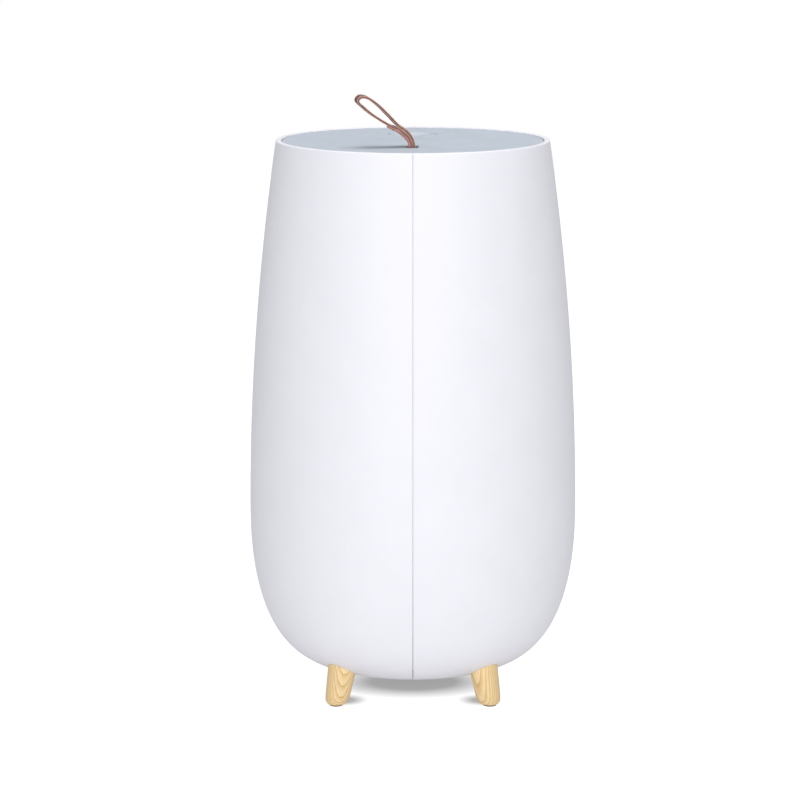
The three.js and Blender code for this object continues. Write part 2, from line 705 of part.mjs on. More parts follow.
function addJack(housing) {
  const cup = turned(
    [
      [JACK_NOSE_RADIUS + 0.4, 82],
      [BEZEL_RADIUS, 82],
      [BEZEL_RADIUS, 100],
      [BEZEL_MOUTH_RADIUS, 100],
      [BEZEL_MOUTH_RADIUS, 84],
      [JACK_NOSE_RADIUS + 0.4, 84],
    ],
    24,
  );
  const skin = turned([[0, 10], ...bodyCurve(0.1), [0, RIM_Z]], BODY_SEGMENTS);
  add(housing, "jack_bezel", common(atJack(alongX(cup)), skin), "greyPlastic");
  const jackBody = block(68, 81.7, -5.5, 5.5, -5, 5);
  const nose = alongX(disc(JACK_NOSE_RADIUS, 81, 86, 20));
  const bore = alongX(tube(1, JACK_BORE_RADIUS, 74, 87, 20));
  add(housing, "dc_jack", atJack(cut(join(jackBody, nose), bore)), "darkPlastic");
}

function addLeads(housing) {
  add(housing, "power_lead", lead(POWER_ROUTE, 1.4, 12), "wire");
  add(housing, "fan_lead", lead(FAN_ROUTE, 1.2, 12), "wire");
  add(housing, "transducer_lead", lead(MIST_ROUTE, 1.2, 10), "wire");
}

// ---------------------------------------------------------------- tank and valve

function addTank(tankBody) {
  const floorTop = TANK_BOTTOM_Z + TANK_FLOOR;
  const bucket = turned(
    [
      [0, TANK_BOTTOM_Z],
      [TANK_RADIUS, TANK_BOTTOM_Z],
      [TANK_TOP_RADIUS, TANK_TOP_Z],
      [TANK_TOP_RADIUS - TANK_WALL, TANK_TOP_Z],
      [TANK_RADIUS - TANK_WALL, floorTop],
      [0, floorTop],
    ],
    RING_SEGMENTS,
  );
  const chimneyOuter = turned(
    [
      [0, CHIMNEY_BOTTOM_Z],
      [CHIMNEY_RADIUS, CHIMNEY_BOTTOM_Z],
      [CHIMNEY_TOP_RADIUS, TANK_TOP_Z],
      [0, TANK_TOP_Z],
    ],
    32,
  ).translate(...MIST, 0);
  const flue = turned(
    [
      [0, CHIMNEY_BOTTOM_Z - 1],
      [CHIMNEY_RADIUS - CHIMNEY_WALL, CHIMNEY_BOTTOM_Z - 1],
      [CHIMNEY_TOP_RADIUS - CHIMNEY_WALL, TANK_TOP_Z + 1],
      [0, TANK_TOP_Z + 1],
    ],
    32,
  ).translate(...MIST, 0);
  const carryBar = block(...CARRY_BAR);
  const valveHole = disc(9.4, 130, 150, 24).translate(...VALVE, 0);
  const tank = cut(join(bucket, chimneyOuter, carryBar), flue, valveHole);
  add(tankBody, "water_tank", tank, "tank");
}

function addValve(tankBody, plungerBody) {
  const place = (geometry) => geometry.translate(...VALVE, 0);
  const collarZ = TANK_BOTTOM_Z - GAP;
  const seat = turned(
    [
      [SEAT_MOUTH_RADIUS, collarZ - 2.4],
      [11.5, collarZ - 2.4],
      [11.5, collarZ],
      [9, collarZ],
      [9, SEAT_TOP_Z],
      [SEAT_MOUTH_RADIUS, SEAT_TOP_Z],
    ],
    24,
  );
  add(tankBody, "valve_seat", place(seat), "greyPlastic");
  const cageLegs = [30, 150, 270].map((degrees) =>
    around(block(CAGE_RADIUS - 2, CAGE_RADIUS, -2, 2, 142.3, CAGE_TOP_Z - 1.5), degrees),
  );
  const cage = join(tube(3, CAGE_RADIUS, CAGE_TOP_Z - 2.2, CAGE_TOP_Z, 24), ...cageLegs);
  add(tankBody, "valve_cage", place(cage), "greyPlastic");

  const flangeZ = WASHER_Z + 1.7;
  const plunger = turned(
    [
      [0, PLUNGER_TIP_Z],
      [0.8, PLUNGER_TIP_Z],
      [STEM_RADIUS, PLUNGER_TIP_Z + 3.2],
      [STEM_RADIUS, flangeZ],
      [7, flangeZ],
      [7, flangeZ + 2],
      [2, flangeZ + 2],
      [2, 158],
      [0, 158],
    ],
    20,
  );
  add(plungerBody, "valve_plunger", place(plunger), "white");
  const washer = tube(STEM_RADIUS + 0.4, 7.5, WASHER_Z, WASHER_Z + 1.4, 20);
  add(plungerBody, "valve_washer", place(washer), "silicone");
  const low = flangeZ + 2 + SPRING_WIRE_RADIUS + GAP;
  const high = CAGE_TOP_Z - 2.2 - SPRING_WIRE_RADIUS - 0.4;
  const spring = springGeometry(SPRING_RADIUS, SPRING_WIRE_RADIUS, low, high, SPRING_TURNS);
  add(tankBody, "valve_spring", place(spring), "steel");
}

// A coil spring about Z with its wire's middle between two heights.
function springGeometry(radius, wire, low, high, turns) {
  const perTurn = 10;
  const points = Array.from({ length: turns * perTurn + 1 }, (_, i) => {
    const a = (2 * Math.PI * i) / perTurn;
    const z = low + ((high - low) * i) / (turns * perTurn);
    return [radius * Math.cos(a), radius * Math.sin(a), z];
  });
  return lead(points, wire, turns * perTurn);
}

// ---------------------------------------------------------------- lid, nozzle and strap

function addLid(lidBody) {
  const under = LID_TOP_Z - LID_THICKNESS;
  const plate = turned(
    [
      [0, under],
      [LID_RADIUS, under],
      [LID_RADIUS, LID_TOP_Z - 0.5],
      [LID_RADIUS - 0.5, LID_TOP_Z],
      [0, LID_TOP_Z],
    ],
    BODY_SEGMENTS,
  );
  const [slotX, slotY] = STRAP_SLOT.map((size) => size / 2);
  const slot = (extra, z0, z1) =>
    block(-slotX - extra, slotX + extra, STRAP_Y - slotY - extra, STRAP_Y + slotY + extra, z0, z1);
  const nozzleHole = disc(NOZZLE_RADIUS + 0.5, 340, 360, 32).translate(...MIST, 0);
  add(lidBody, "lid_plate", cut(plate, slot(0, 340, 360), nozzleHole), "lidGrey");

  const linerUnder = LINER_TOP_Z - LINER_THICKNESS;
  const liner = turned(
    [
      [0, linerUnder],
      [72.8, linerUnder],
      [72.8, SKIRT_BOTTOM_Z],
      [74.8, SKIRT_BOTTOM_Z],
      [74.8, linerUnder],
      [LINER_RADIUS, linerUnder],
      [LINER_RADIUS, LINER_TOP_Z],
      [0, LINER_TOP_Z],
    ],
    RING_SEGMENTS,
  );
  const collar = tube(17.5, 19.5, SKIRT_BOTTOM_Z, linerUnder + 1, 32).translate(...MIST, 0);
  const stemHole = disc(14.2, 340, 360, 32).translate(...MIST, 0);
  add(lidBody, "lid_liner", cut(join(liner, collar), slot(1, 340, 360), stemHole), "white");

  const sealZ = LEDGE_Z + GAP;
  add(lidBody, "lid_seal", tube(81, 82.9, sealZ, under - GAP, BODY_SEGMENTS), "silicone");

  const anchorTop = linerUnder - GAP;
  const anchor = block(-7, 7, STRAP_Y - 11, STRAP_Y + 11, anchorTop - 4, anchorTop);
  const rootX = [STRAP_ROOT_X - STRAP_THICKNESS, STRAP_ROOT_X + STRAP_THICKNESS];
  const rootY = [STRAP_Y - STRAP_WIDTH / 2, STRAP_Y + STRAP_WIDTH / 2];
  const grip = block(
    rootX[0] - GAP,
    rootX[1] + GAP,
    rootY[0] - GAP,
    rootY[1] + GAP,
    anchorTop - 5,
    anchorTop + 1,
  );
  add(lidBody, "strap_anchor", cut(anchor, grip), "darkPlastic");
  add(lidBody, "strap_root", block(...rootX, ...rootY, anchorTop - 4, LID_TOP_Z - 0.1), "leather");
}

function addNozzle(nozzleBody) {
  const under = LID_TOP_Z - LID_THICKNESS;
  const linerUnder = LINER_TOP_Z - LINER_THICKNESS;
  const dish = turned(
    [
      [0, under - 1.2],
      [11.6, under - 1.2],
      [11.6, linerUnder - 2.6],
      [13.7, linerUnder - 2.6],
      [14.9, linerUnder - 1.4],
      [14.9, linerUnder - GAP],
      [13.7, linerUnder - GAP],
      [13.7, under],
      [NOZZLE_RADIUS, under],
      [NOZZLE_RADIUS, LID_TOP_Z],
      [13.6, LID_TOP_Z],
      [10.5, LID_TOP_Z - 1.6],
      [5, LID_TOP_Z - 2.3],
      [0, LID_TOP_Z - 2.5],
    ],
    28,
  );
  const mouth = common(disc(9.6, 340, 360, 32), block(-12, 12, 0.5, 7.5, 340, 360));
  add(nozzleBody, "mist_nozzle", cut(dish, mouth), "lidGrey");
  nozzleBody.position.set(...MIST, 0);
}

// The strap seen from the side: x and z of the middle of the leather, from the slot up the right
// strand, round the tip and back down the left strand. z is the height over the lid.
const STRAP_RIGHT = [
  [0.5, 2.2], [-0.7, 5.4], [-3.5, 9.1], [-9.2, 13.3], [-14.9, 19.1], [-22.6, 26.7], [-29.3, 31.2],
  [-33.4, 31.6],
];
const STRAP_LEFT = [
  [-35.2, 29.2], [-31.6, 25.2], [-25.6, 20.3], [-19.9, 16.6], [-16.8, 14.7], [-13.4, 12.9],
  [-10.3, 11.8], [-4.75, 7.75], [-2.15, 4.6], [-1.1, 2.2],
];
// The outline of the folded end, sewn to the outside of the left strand.
const STRAP_END_LAYER = [
  [-2.9, 1.2], [-4.1, 3.9], [-6.5, 6.2], [-11.7, 10], [-15.9, 12.2], [-15.3, 13.2], [-10.3, 11.8],
  [-4.75, 7.75], [-2, 4.4], [-1.2, 2.2],
];
// The outline between the strands where they are pressed together.
const STRAP_NECK = [
  [0.3, 2.2], [-1, 5.2], [-3.7, 8.8], [-9.2, 12.9], [-11.5, 13.9], [-10.3, 12.1], [-4.9, 8],
  [-2.3, 4.8], [-0.9, 2.2],
];
const STRAP_PIVOT_HEIGHT = 2.2;

function addStrap(strapBody) {
  const middle = new THREE.CatmullRomCurve3(
    [...STRAP_RIGHT, ...STRAP_LEFT].map(([x, z]) => new THREE.Vector3(x, z, 0)),
    false,
    "centripetal",
  ).getPoints(40);
  const offset = (side) =>
    middle.map((point, i) => {
      const ahead = middle[Math.min(i + 1, middle.length - 1)];
      const behind = middle[Math.max(i - 1, 0)];
      const run = new THREE.Vector2(ahead.x - behind.x, ahead.y - behind.y).normalize();
      const half = (side * STRAP_THICKNESS) / 2;
      return new THREE.Vector2(point.x + run.y * half, point.y - run.x * half);
    });
  const band = (points) => {
    const shape = new THREE.Shape(points);
    return new THREE.ExtrudeGeometry(shape, { depth: STRAP_WIDTH, bevelEnabled: false, steps: 1 })
      .rotateX(Math.PI / 2)
      .translate(0, STRAP_Y + STRAP_WIDTH / 2, LID_TOP_Z);
  };
  const ribbon = band([...offset(1), ...offset(-1).reverse()]);
  const endLayer = band(STRAP_END_LAYER.map(([x, z]) => new THREE.Vector2(x, z)));
  const root = new THREE.CylinderGeometry(STRAP_THICKNESS, STRAP_THICKNESS, STRAP_WIDTH, 16)
    .translate(STRAP_ROOT_X, STRAP_Y, LID_TOP_Z + STRAP_PIVOT_HEIGHT);
  const neckFill = band(STRAP_NECK.map(([x, z]) => new THREE.Vector2(x, z)));
  add(strapBody, "strap_loop", join(ribbon, endLayer, root, neckFill), "leather");
}

// ---------------------------------------------------------------- assembly

function add(parent, name, geometry, material) {
  const mesh = new THREE.Mesh(toGeometry(toManifold(geometry)), MATERIALS[material]);
  mesh.name = name;
  parent.add(mesh);
}

const humidifier = new THREE.Group();
const [rotor, button, float, tank, plunger, lid, nozzle, strap] = Array.from(
  { length: 8 },
  () => new THREE.Group(),
);
humidifier.add(rotor, button, float, tank);
tank.add(plunger, lid);
lid.add(nozzle, strap);

addShells(humidifier);
addLegs(humidifier);
addBase(humidifier);
addBasin(humidifier);
addFloat(float);
addTransducer(humidifier);
addFan(humidifier, rotor);
addDuct(humidifier);
addElectronics(humidifier, button);
addJack(humidifier);
addLeads(humidifier);
addTank(tank);
addValve(tank, plunger);
addLid(lid);
addNozzle(nozzle);
addStrap(strap);

export default humidifier;
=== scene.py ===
"""Looks for the cool mist humidifier: an egg-shaped white shell in two halves on four wooden legs,
a blue-grey lid with a leather pull strap and a mist nozzle, and the tank, basin, fan and
electronics inside. Lengths in the tables below are millimetres in the row frame."""

import bmesh
import bpy
import json
import math
from mathutils import Matrix, Vector


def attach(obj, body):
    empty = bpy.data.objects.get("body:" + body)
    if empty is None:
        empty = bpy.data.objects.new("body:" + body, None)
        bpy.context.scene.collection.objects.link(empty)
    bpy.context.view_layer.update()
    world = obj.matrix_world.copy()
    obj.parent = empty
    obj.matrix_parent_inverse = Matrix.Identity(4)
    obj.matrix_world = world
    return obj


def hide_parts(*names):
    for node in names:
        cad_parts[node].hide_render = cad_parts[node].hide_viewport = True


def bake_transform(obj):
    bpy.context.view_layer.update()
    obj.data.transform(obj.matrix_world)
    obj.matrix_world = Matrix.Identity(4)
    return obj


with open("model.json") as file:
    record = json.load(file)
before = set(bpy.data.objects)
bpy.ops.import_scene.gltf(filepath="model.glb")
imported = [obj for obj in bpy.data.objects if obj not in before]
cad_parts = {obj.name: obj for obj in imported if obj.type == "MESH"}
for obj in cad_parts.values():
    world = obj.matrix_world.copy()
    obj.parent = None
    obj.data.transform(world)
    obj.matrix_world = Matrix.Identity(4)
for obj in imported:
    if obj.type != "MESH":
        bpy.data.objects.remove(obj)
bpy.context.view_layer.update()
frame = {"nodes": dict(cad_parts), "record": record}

MM = 0.001

# ---------------------------------------------------------------- dimensions, as in the CAD

BODY_RADIUS = 105
WIDEST_Z = 117
RIM_Z = 355
RIM_RADIUS = 87
FLARE_POWER = 1.94
BOWL_DEPTH = 103.7
BOWL_RADIUS_POWER = 4.55
BOWL_HEIGHT_POWER = 2.17
OPENING_RADIUS = 49
WALL = 3
LEDGE_Z = 350
LEDGE_RADIUS = 80.5
RIM_INNER_RADIUS = 83.6
SHELF_Z = 150
SHELF_RADIUS = 92

LEG_ANGLES = (-130, -50, 50, 130)
LEG_FOOT_RADIUS = 76
LEG_SPLAY = math.radians(15)
LEG_RADIUS_AT_FLOOR = 7.3
LEG_TAPER = 0.076
LEG_BOTTOM_Z = 0.8

PAN_SCREW_ANGLES = (25, 155, 205, 335)
PAN_SCREW_RADIUS = 55
BUTTON_Z = 90
BUTTON_BEARING = 130
JACK_Z = 45

LID_TOP_Z = 354.4
LID_THICKNESS = 3
LID_RADIUS = 83
MIST_Y = 39.5
NOZZLE_RADIUS = 15.5
STRAP_Y = -40
STRAP_SLOT = (7, 16)
STRAP_WIDTH = 12
STRAP_LEATHER = 1.6
STRAP_TWIST = math.radians(9)

TANK_BOTTOM_Z = 139.3
TANK_TOP_Z = 340
TANK_RADIUS = 76.5
TANK_TOP_RADIUS = 78.8
TANK_WALL = 2.4
CHIMNEY_BOTTOM_Z = 128
VALVE_Y = -38

# ---------------------------------------------------------------- camera, light and floor

CAMERA_PLACE = (0, -2.2, 0.576)
CAMERA_AIM_Z = 0.184
CAMERA_LENS = 156.2
CAMERA_SHIFT = (-0.0161, 0.0055)
# Each light's place, the point that it faces, its size and its power in watts.
TOP_LIGHT = ((0.06, 0, 1.6), (0, 0, 0.2), (0.9, 0.9), 11)
FRONT_LIGHT = ((0, -2.4, 0.75), (0, 0, 0.2), (2.6, 1.0), 32)
ROOM_TINT = (0.94, 0.95, 1, 1)
ROOM_STRENGTH = 0.44


def add_camera():
    data = bpy.data.cameras.new("camera")
    data.lens = CAMERA_LENS
    data.sensor_width = 36
    data.shift_x, data.shift_y = CAMERA_SHIFT
    data.clip_end = 50
    camera = bpy.data.objects.new("camera", data)
    x, y, z = CAMERA_PLACE
    camera.location = (x, y, z)
    camera.rotation_euler = (math.pi / 2 - math.atan2(z - CAMERA_AIM_Z, -y), 0, 0)
    bpy.context.scene.collection.objects.link(camera)
    bpy.context.scene.camera = camera


def add_softbox(name, place, aim, size, power):
    data = bpy.data.lights.new(name, "AREA")
    data.shape = "RECTANGLE"
    data.size, data.size_y = size
    data.energy = power
    light = bpy.data.objects.new(name, data)
    light.location = place
    direction = Vector(aim) - Vector(place)
    light.rotation_euler = direction.to_track_quat("-Z", "Y").to_euler()
    light.visible_camera = False
    bpy.context.scene.collection.objects.link(light)


def add_world():
    world = bpy.data.worlds.new("studio")
    world.use_nodes = True
    tree = world.node_tree
    tree.nodes.clear()
    seen = tree.nodes.new("ShaderNodeBackground")
    seen.inputs["Color"].default_value = (1, 1, 1, 1)
    seen.inputs["Strength"].default_value = 1.0
    lighting = tree.nodes.new("ShaderNodeBackground")
    lighting.inputs["Color"].default_value = ROOM_TINT
    lighting.inputs["Strength"].default_value = ROOM_STRENGTH
    path = tree.nodes.new("ShaderNodeLightPath")
    mix = tree.nodes.new("ShaderNodeMixShader")
    out = tree.nodes.new("ShaderNodeOutputWorld")
    tree.links.new(path.outputs["Is Camera Ray"], mix.inputs[0])
    tree.links.new(lighting.outputs[0], mix.inputs[1])
    tree.links.new(seen.outputs[0], mix.inputs[2])
    tree.links.new(mix.outputs[0], out.inputs[0])
    bpy.context.scene.world = world


def add_studio():
    bpy.context.scene.view_settings.view_transform = "Standard"
    add_world()
    add_softbox("top_softbox", *TOP_LIGHT)
    add_softbox("front_softbox", *FRONT_LIGHT)
    floor = revolve("floor", [(0, -0.5), (3000, -0.5), (3000, 0), (0, 0)], 96, floor_with_painted_shadows())


# ---------------------------------------------------------------- node helpers


def new_material(name, **sockets):
    material = bpy.data.materials.new(name)
    material.use_nodes = True
    shader = material.node_tree.nodes["Principled BSDF"]
    for socket, value in sockets.items():
        shader.inputs[socket.replace("_", " ")].default_value = value
    return material, shader


def put(material, kind, inputs=None, **settings):
    """Adds a node, with its settings, and its inputs given as numbers or as other nodes' sockets."""
    node = material.node_tree.nodes.new(kind)
    for key, value in settings.items():
        setattr(node, key, value)
    for key, value in (inputs or {}).items():
        if isinstance(value, bpy.types.NodeSocket):
            material.node_tree.links.new(value, node.inputs[key])
        else:
            node.inputs[key].default_value = value
    return node


def link(material, source, shader, socket):
    material.node_tree.links.new(source, shader.inputs[socket])


def coordinates(material, scale=(1, 1, 1), turn=(0, 0, 0), shift=(0, 0, 0)):
    place = put(material, "ShaderNodeTexCoord").outputs["Object"]
    mapping = put(material, "ShaderNodeMapping", {"Vector": place})
    mapping.inputs["Scale"].default_value = scale
    mapping.inputs["Rotation"].default_value = turn
    mapping.inputs["Location"].default_value = shift
    return mapping.outputs[0]


def noise(material, size_mm, detail=2, rough=0.5, vector=None, distortion=0):
    inputs = {"Scale": 1 / (size_mm * MM), "Detail": detail, "Roughness": rough, "Distortion": distortion}
    inputs["Vector"] = vector or coordinates(material)
    return put(material, "ShaderNodeTexNoise", inputs).outputs["Fac"]


def cells(material, size_mm, feature="F1", vector=None):
    inputs = {"Scale": 1 / (size_mm * MM), "Vector": vector or coordinates(material)}
    return put(material, "ShaderNodeTexVoronoi", inputs, feature=feature).outputs["Distance"]


def ramp(material, fac, *stops):
    node = put(material, "ShaderNodeValToRGB", {"Fac": fac})
    elements = node.color_ramp.elements
    while len(elements) < len(stops):
        elements.new(0.5)
    for element, (position, colour) in zip(elements, stops):
        element.position = position
        element.color = (*colour, 1)
    return node.outputs["Color"]


def paint_from(material, shader, fac, *stops):
    link(material, ramp(material, fac, *stops), shader, "Base Color")


def vector_maths(material, operation, a, b=(0, 0, 0)):
    return put(material, "ShaderNodeVectorMath", {0: a, 1: b}, operation=operation).outputs


def span(material, value, low, high, from_low=0.3, from_high=0.7):
    inputs = {"Value": value, "From Min": from_low, "From Max": from_high, "To Min": low, "To Max": high}
    return put(material, "ShaderNodeMapRange", inputs).outputs[0]


def maths(material, operation, a, b=0.0, c=0.0):
    return put(material, "ShaderNodeMath", {0: a, 1: b, 2: c}, operation=operation).outputs[0]


def bump(material, height, depth_mm, strength=1.0, under=None):
    inputs = {"Height": height, "Strength": strength, "Distance": depth_mm * MM}
    if under:
        inputs["Normal"] = under
    return put(material, "ShaderNodeBump", inputs).outputs[0]


# ---------------------------------------------------------------- materials


def moulded(name, colour, roughness, grain_mm, grain_depth, variation=0.04, **sockets):
    """Moulded plastic: fine eroded grain, slow sink marks, and slight mottling of colour and gloss."""
    material, shader = new_material(name, **sockets)
    mottle = noise(material, 22, 4, 0.6)
    darker = tuple(c * (1 - variation) for c in colour)
    lighter = tuple(min(1, c * (1 + variation * 0.5)) for c in colour)
    link(material, ramp(material, mottle, (0.3, darker), (0.7, lighter)), shader, "Base Color")
    link(material, span(material, mottle, roughness - 0.05, roughness + 0.05), shader, "Roughness")
    slow = bump(material, noise(material, 45, 1), 0.12, 0.5)
    fine = bump(material, noise(material, grain_mm, 3, 0.6), grain_depth, 0.6, slow)
    link(material, fine, shader, "Normal")
    return material


PAINTED_FOOT_SHADOW = (0.043, 0.046, 0)  # the middle of the painted shadow beside one foot
PAINTED_BODY_SHADOW_FLATTENING = (0.72, 1, 1)  # the painted shadow under the body is wider from side to side
FLOOR_LIGHT_SHARE = 0.42  # how much of its glow the floor casts on the body


def floor_with_painted_shadows():
    """An evenly glowing floor with painted shadows: it glows less under the body and beside each foot, and
    lights the body less than it shows.
    """
    material, shader = new_material("floor_with_painted_shadows", Roughness=0.9)
    mottle = noise(material, 60, 3)
    paint_from(material, shader, mottle, (0.3, (0.40, 0.40, 0.41)), (0.7, (0.42, 0.42, 0.43)))
    place = put(material, "ShaderNodeTexCoord").outputs["Object"]
    folded = vector_maths(material, "ABSOLUTE", place)["Vector"]
    beside_foot = vector_maths(material, "DISTANCE", folded, PAINTED_FOOT_SHADOW)["Value"]
    flattened = vector_maths(material, "MULTIPLY", place, PAINTED_BODY_SHADOW_FLATTENING)["Vector"]
    away = vector_maths(material, "LENGTH", flattened)["Value"]
    # Painted shadows: the glow drops under the body and beside each foot, where they would shade the floor.
    painted_shadow_under_body = span(material, away, 0.3, 0.9, 0.020, 0.044)
    painted_shadow_by_foot = span(material, beside_foot, 0.25, 0.9, 0.005, 0.016)
    glow = maths(material, "MINIMUM", painted_shadow_under_body, painted_shadow_by_foot)
    seen = put(material, "ShaderNodeLightPath").outputs["Is Camera Ray"]
    share = span(material, seen, FLOOR_LIGHT_SHARE, 1.0, 0, 1)
    shader.inputs["Emission Color"].default_value = (1, 1, 1, 1)
    link(material, maths(material, "MULTIPLY", glow, share), shader, "Emission Strength")
    return material


def along_leg(material, degrees):
    """Coordinates that stand with a leg: its axis is Z, and X points out from the body."""
    place = put(material, "ShaderNodeTexCoord").outputs["Object"]
    a = math.radians(degrees)
    mapping = put(material, "ShaderNodeMapping", {"Vector": place}, vector_type="TEXTURE")
    foot = LEG_FOOT_RADIUS * MM
    mapping.inputs["Location"].default_value = (foot * math.cos(a), foot * math.sin(a), 0)
    mapping.inputs["Rotation"].default_value = (0, -LEG_SPLAY, a)
    return mapping.outputs[0]


def wood_material(name, degrees, turn, lean, shift, spacing):
    """Pale pine: curved growth rings cut by the round leg, fine pores along it, and a rubbed oil finish."""
    material, shader = new_material(name)
    stem = along_leg(material, degrees)
    moved = put(material, "ShaderNodeMapping", {"Vector": stem})
    moved.inputs["Rotation"].default_value = (0, lean, turn)
    moved.inputs["Location"].default_value = tuple(s * MM for s in shift)
    long_grain = vector_maths(material, "MULTIPLY", stem, (1, 1, 0.12))[0]
    wander = noise(material, 7, 3, 0.55, long_grain)
    axes = put(material, "ShaderNodeSeparateXYZ", {0: moved.outputs[0]})
    across, along = axes.outputs[0], axes.outputs[1]
    bow = maths(material, "MULTIPLY", maths(material, "MULTIPLY", along, along), 14)
    wavering = maths(material, "MULTIPLY", wander, 1.4 * MM)
    depth = maths(material, "ADD", maths(material, "ADD", across, bow), wavering)
    phase = maths(material, "FRACT", maths(material, "MULTIPLY", depth, 1 / (spacing * MM)))
    rings = ramp(
        material,
        phase,
        (0.0, (0.93, 0.72, 0.40)),
        (0.4, (0.91, 0.69, 0.365)),
        (0.78, (0.82, 0.57, 0.26)),
        (0.92, (0.70, 0.44, 0.17)),
        (1.0, (0.91, 0.69, 0.38)),
    )
    fibre = vector_maths(material, "MULTIPLY", stem, (1, 1, 0.04))[0]
    pores = noise(material, 0.35, 2, 0.5, fibre)
    tint = ramp(material, pores, (0.35, (0.9, 0.88, 0.85)), (0.6, (1, 1, 1)))
    mix = put(material, "ShaderNodeMix", {0: 1.0, 6: rings, 7: tint}, data_type="RGBA", blend_type="MULTIPLY")
    link(material, mix.outputs[2], shader, "Base Color")
    link(material, span(material, pores, 0.62, 0.48), shader, "Roughness")
    relief = bump(material, phase, 0.04, 0.5)
    link(material, bump(material, pores, 0.04, 0.6, relief), shader, "Normal")
    return material


def leather_face():
    material, shader = new_material("leather_face")
    pebbles = cells(material, 0.55)
    blotch = noise(material, 5, 4, 0.6)
    colour = ramp(material, blotch, (0.3, (0.12, 0.058, 0.042)), (0.7, (0.22, 0.11, 0.08)))
    link(material, colour, shader, "Base Color")
    link(material, span(material, blotch, 0.5, 0.66), shader, "Roughness")
    creases = bump(material, noise(material, 1.6, 4, 0.65), 0.12, 0.6)
    link(material, bump(material, pebbles, 0.08, 0.8, creases), shader, "Normal")
    return material


def leather_edge():
    """The cut edge: pressed tan fibres, darker where it has been burnished and handled."""
    material, shader = new_material("leather_edge")
    fibres = noise(material, 0.45, 5, 0.75)
    patches = noise(material, 2.6, 3)
    fine, coarse = maths(material, "MULTIPLY", fibres, 0.6), maths(material, "MULTIPLY", patches, 0.4)
    blend = maths(material, "ADD", fine, coarse)
    colour = ramp(
        material, blend, (0.36, (0.30, 0.13, 0.10)), (0.5, (0.63, 0.33, 0.26)), (0.64, (0.80, 0.49, 0.41))
    )
    link(material, colour, shader, "Base Color")
    shader.inputs["Roughness"].default_value = 0.72
    link(material, bump(material, fibres, 0.12, 0.9), shader, "Normal")
    return material


def thread_material():
    material, shader = new_material("waxed_thread", Roughness=0.5)
    twist = put(
        material,
        "ShaderNodeTexWave",
        {"Scale": 900, "Distortion": 1.5, "Vector": coordinates(material, turn=(0, 0.6, 0.6))},
    ).outputs["Fac"]
    paint_from(material, shader, twist, (0.2, (0.36, 0.25, 0.16)), (0.8, (0.62, 0.47, 0.33)))
    link(material, bump(material, twist, 0.08), shader, "Normal")
    return material


def clear_tank():
    material, shader = new_material("clear_tank", IOR=1.49, Transmission_Weight=0.82)
    flow = noise(material, 30, 3, 0.6)
    paint_from(material, shader, flow, (0.3, (0.66, 0.75, 0.82)), (0.7, (0.74, 0.82, 0.88)))
    link(material, span(material, noise(material, 6, 3), 0.08, 0.2), shader, "Roughness")
    link(material, bump(material, flow, 0.2, 0.4), shader, "Normal")
    return material


def metal(name, colour, roughness, streak_scale, size_mm=0.5):
    """Worked metal: streaks the way it was drawn or turned, and duller patches."""
    material, shader = new_material(name, Metallic=1.0)
    streaks = noise(material, size_mm, 3, 0.6, coordinates(material, scale=streak_scale))
    dull = noise(material, 4, 3)
    darker = tuple(c * 0.8 for c in colour)
    link(material, ramp(material, dull, (0.3, darker), (0.7, colour)), shader, "Base Color")
    link(material, span(material, streaks, roughness - 0.1, roughness + 0.12), shader, "Roughness")
    link(material, bump(material, streaks, 0.03, 0.6), shader, "Normal")
    return material


def soft_rubber(name, colour, roughness, **sockets):
    material, shader = new_material(name, **sockets)
    dust = noise(material, 3, 4, 0.7)
    lighter = tuple(min(1, c * 1.35 + 0.01) for c in colour)
    link(material, ramp(material, dust, (0.4, colour), (0.75, lighter)), shader, "Base Color")
    link(material, span(material, dust, roughness - 0.06, roughness + 0.08), shader, "Roughness")
    link(material, bump(material, noise(material, 0.4, 2), 0.04, 0.6), shader, "Normal")
    return material


def circuit_board():
    """Green solder mask with raised copper tracks and tinned pads."""
    material, shader = new_material("circuit_board")
    grid = coordinates(material, turn=(0, 0, 0.001))
    tracks = put(
        material, "ShaderNodeTexVoronoi", {"Scale": 260, "Vector": grid, "Randomness": 0.35},
        feature="F1", distance="CHEBYCHEV",
    ).outputs["Distance"]
    dots = {"Scale": 190, "Vector": grid, "Randomness": 0.2}
    pads = put(material, "ShaderNodeTexVoronoi", dots).outputs["Distance"]
    mask = ramp(material, tracks, (0.30, (0.016, 0.12, 0.05)), (0.36, (0.03, 0.22, 0.09)))
    tinned = ramp(material, pads, (0.14, (0.62, 0.6, 0.55)), (0.17, (0, 0, 0)))
    is_pad = ramp(material, pads, (0.14, (1, 1, 1)), (0.17, (0, 0, 0)))
    mix = put(material, "ShaderNodeMix", {0: is_pad, 6: mask, 7: tinned}, data_type="RGBA")
    link(material, mix.outputs[2], shader, "Base Color")
    link(material, span(material, noise(material, 5, 3), 0.3, 0.45), shader, "Roughness")
    link(material, bump(material, tracks, 0.06, 0.7), shader, "Normal")
    return material


def filter_foam():
    material, shader = new_material("filter_foam", Roughness=0.95)
    pores = cells(material, 1.1)
    paint_from(material, shader, pores, (0.1, (0.008, 0.008, 0.009)), (0.6, (0.09, 0.09, 0.1)))
    link(material, bump(material, pores, 0.8), shader, "Normal")
    return material


def ceramic():
    material, shader = new_material("fired_ceramic")
    speckle = noise(material, 0.7, 4, 0.7)
    paint_from(material, shader, speckle, (0.4, (0.62, 0.58, 0.48)), (0.65, (0.78, 0.75, 0.66)))
    link(material, span(material, speckle, 0.3, 0.5), shader, "Roughness")
    link(material, bump(material, speckle, 0.03), shader, "Normal")
    return material


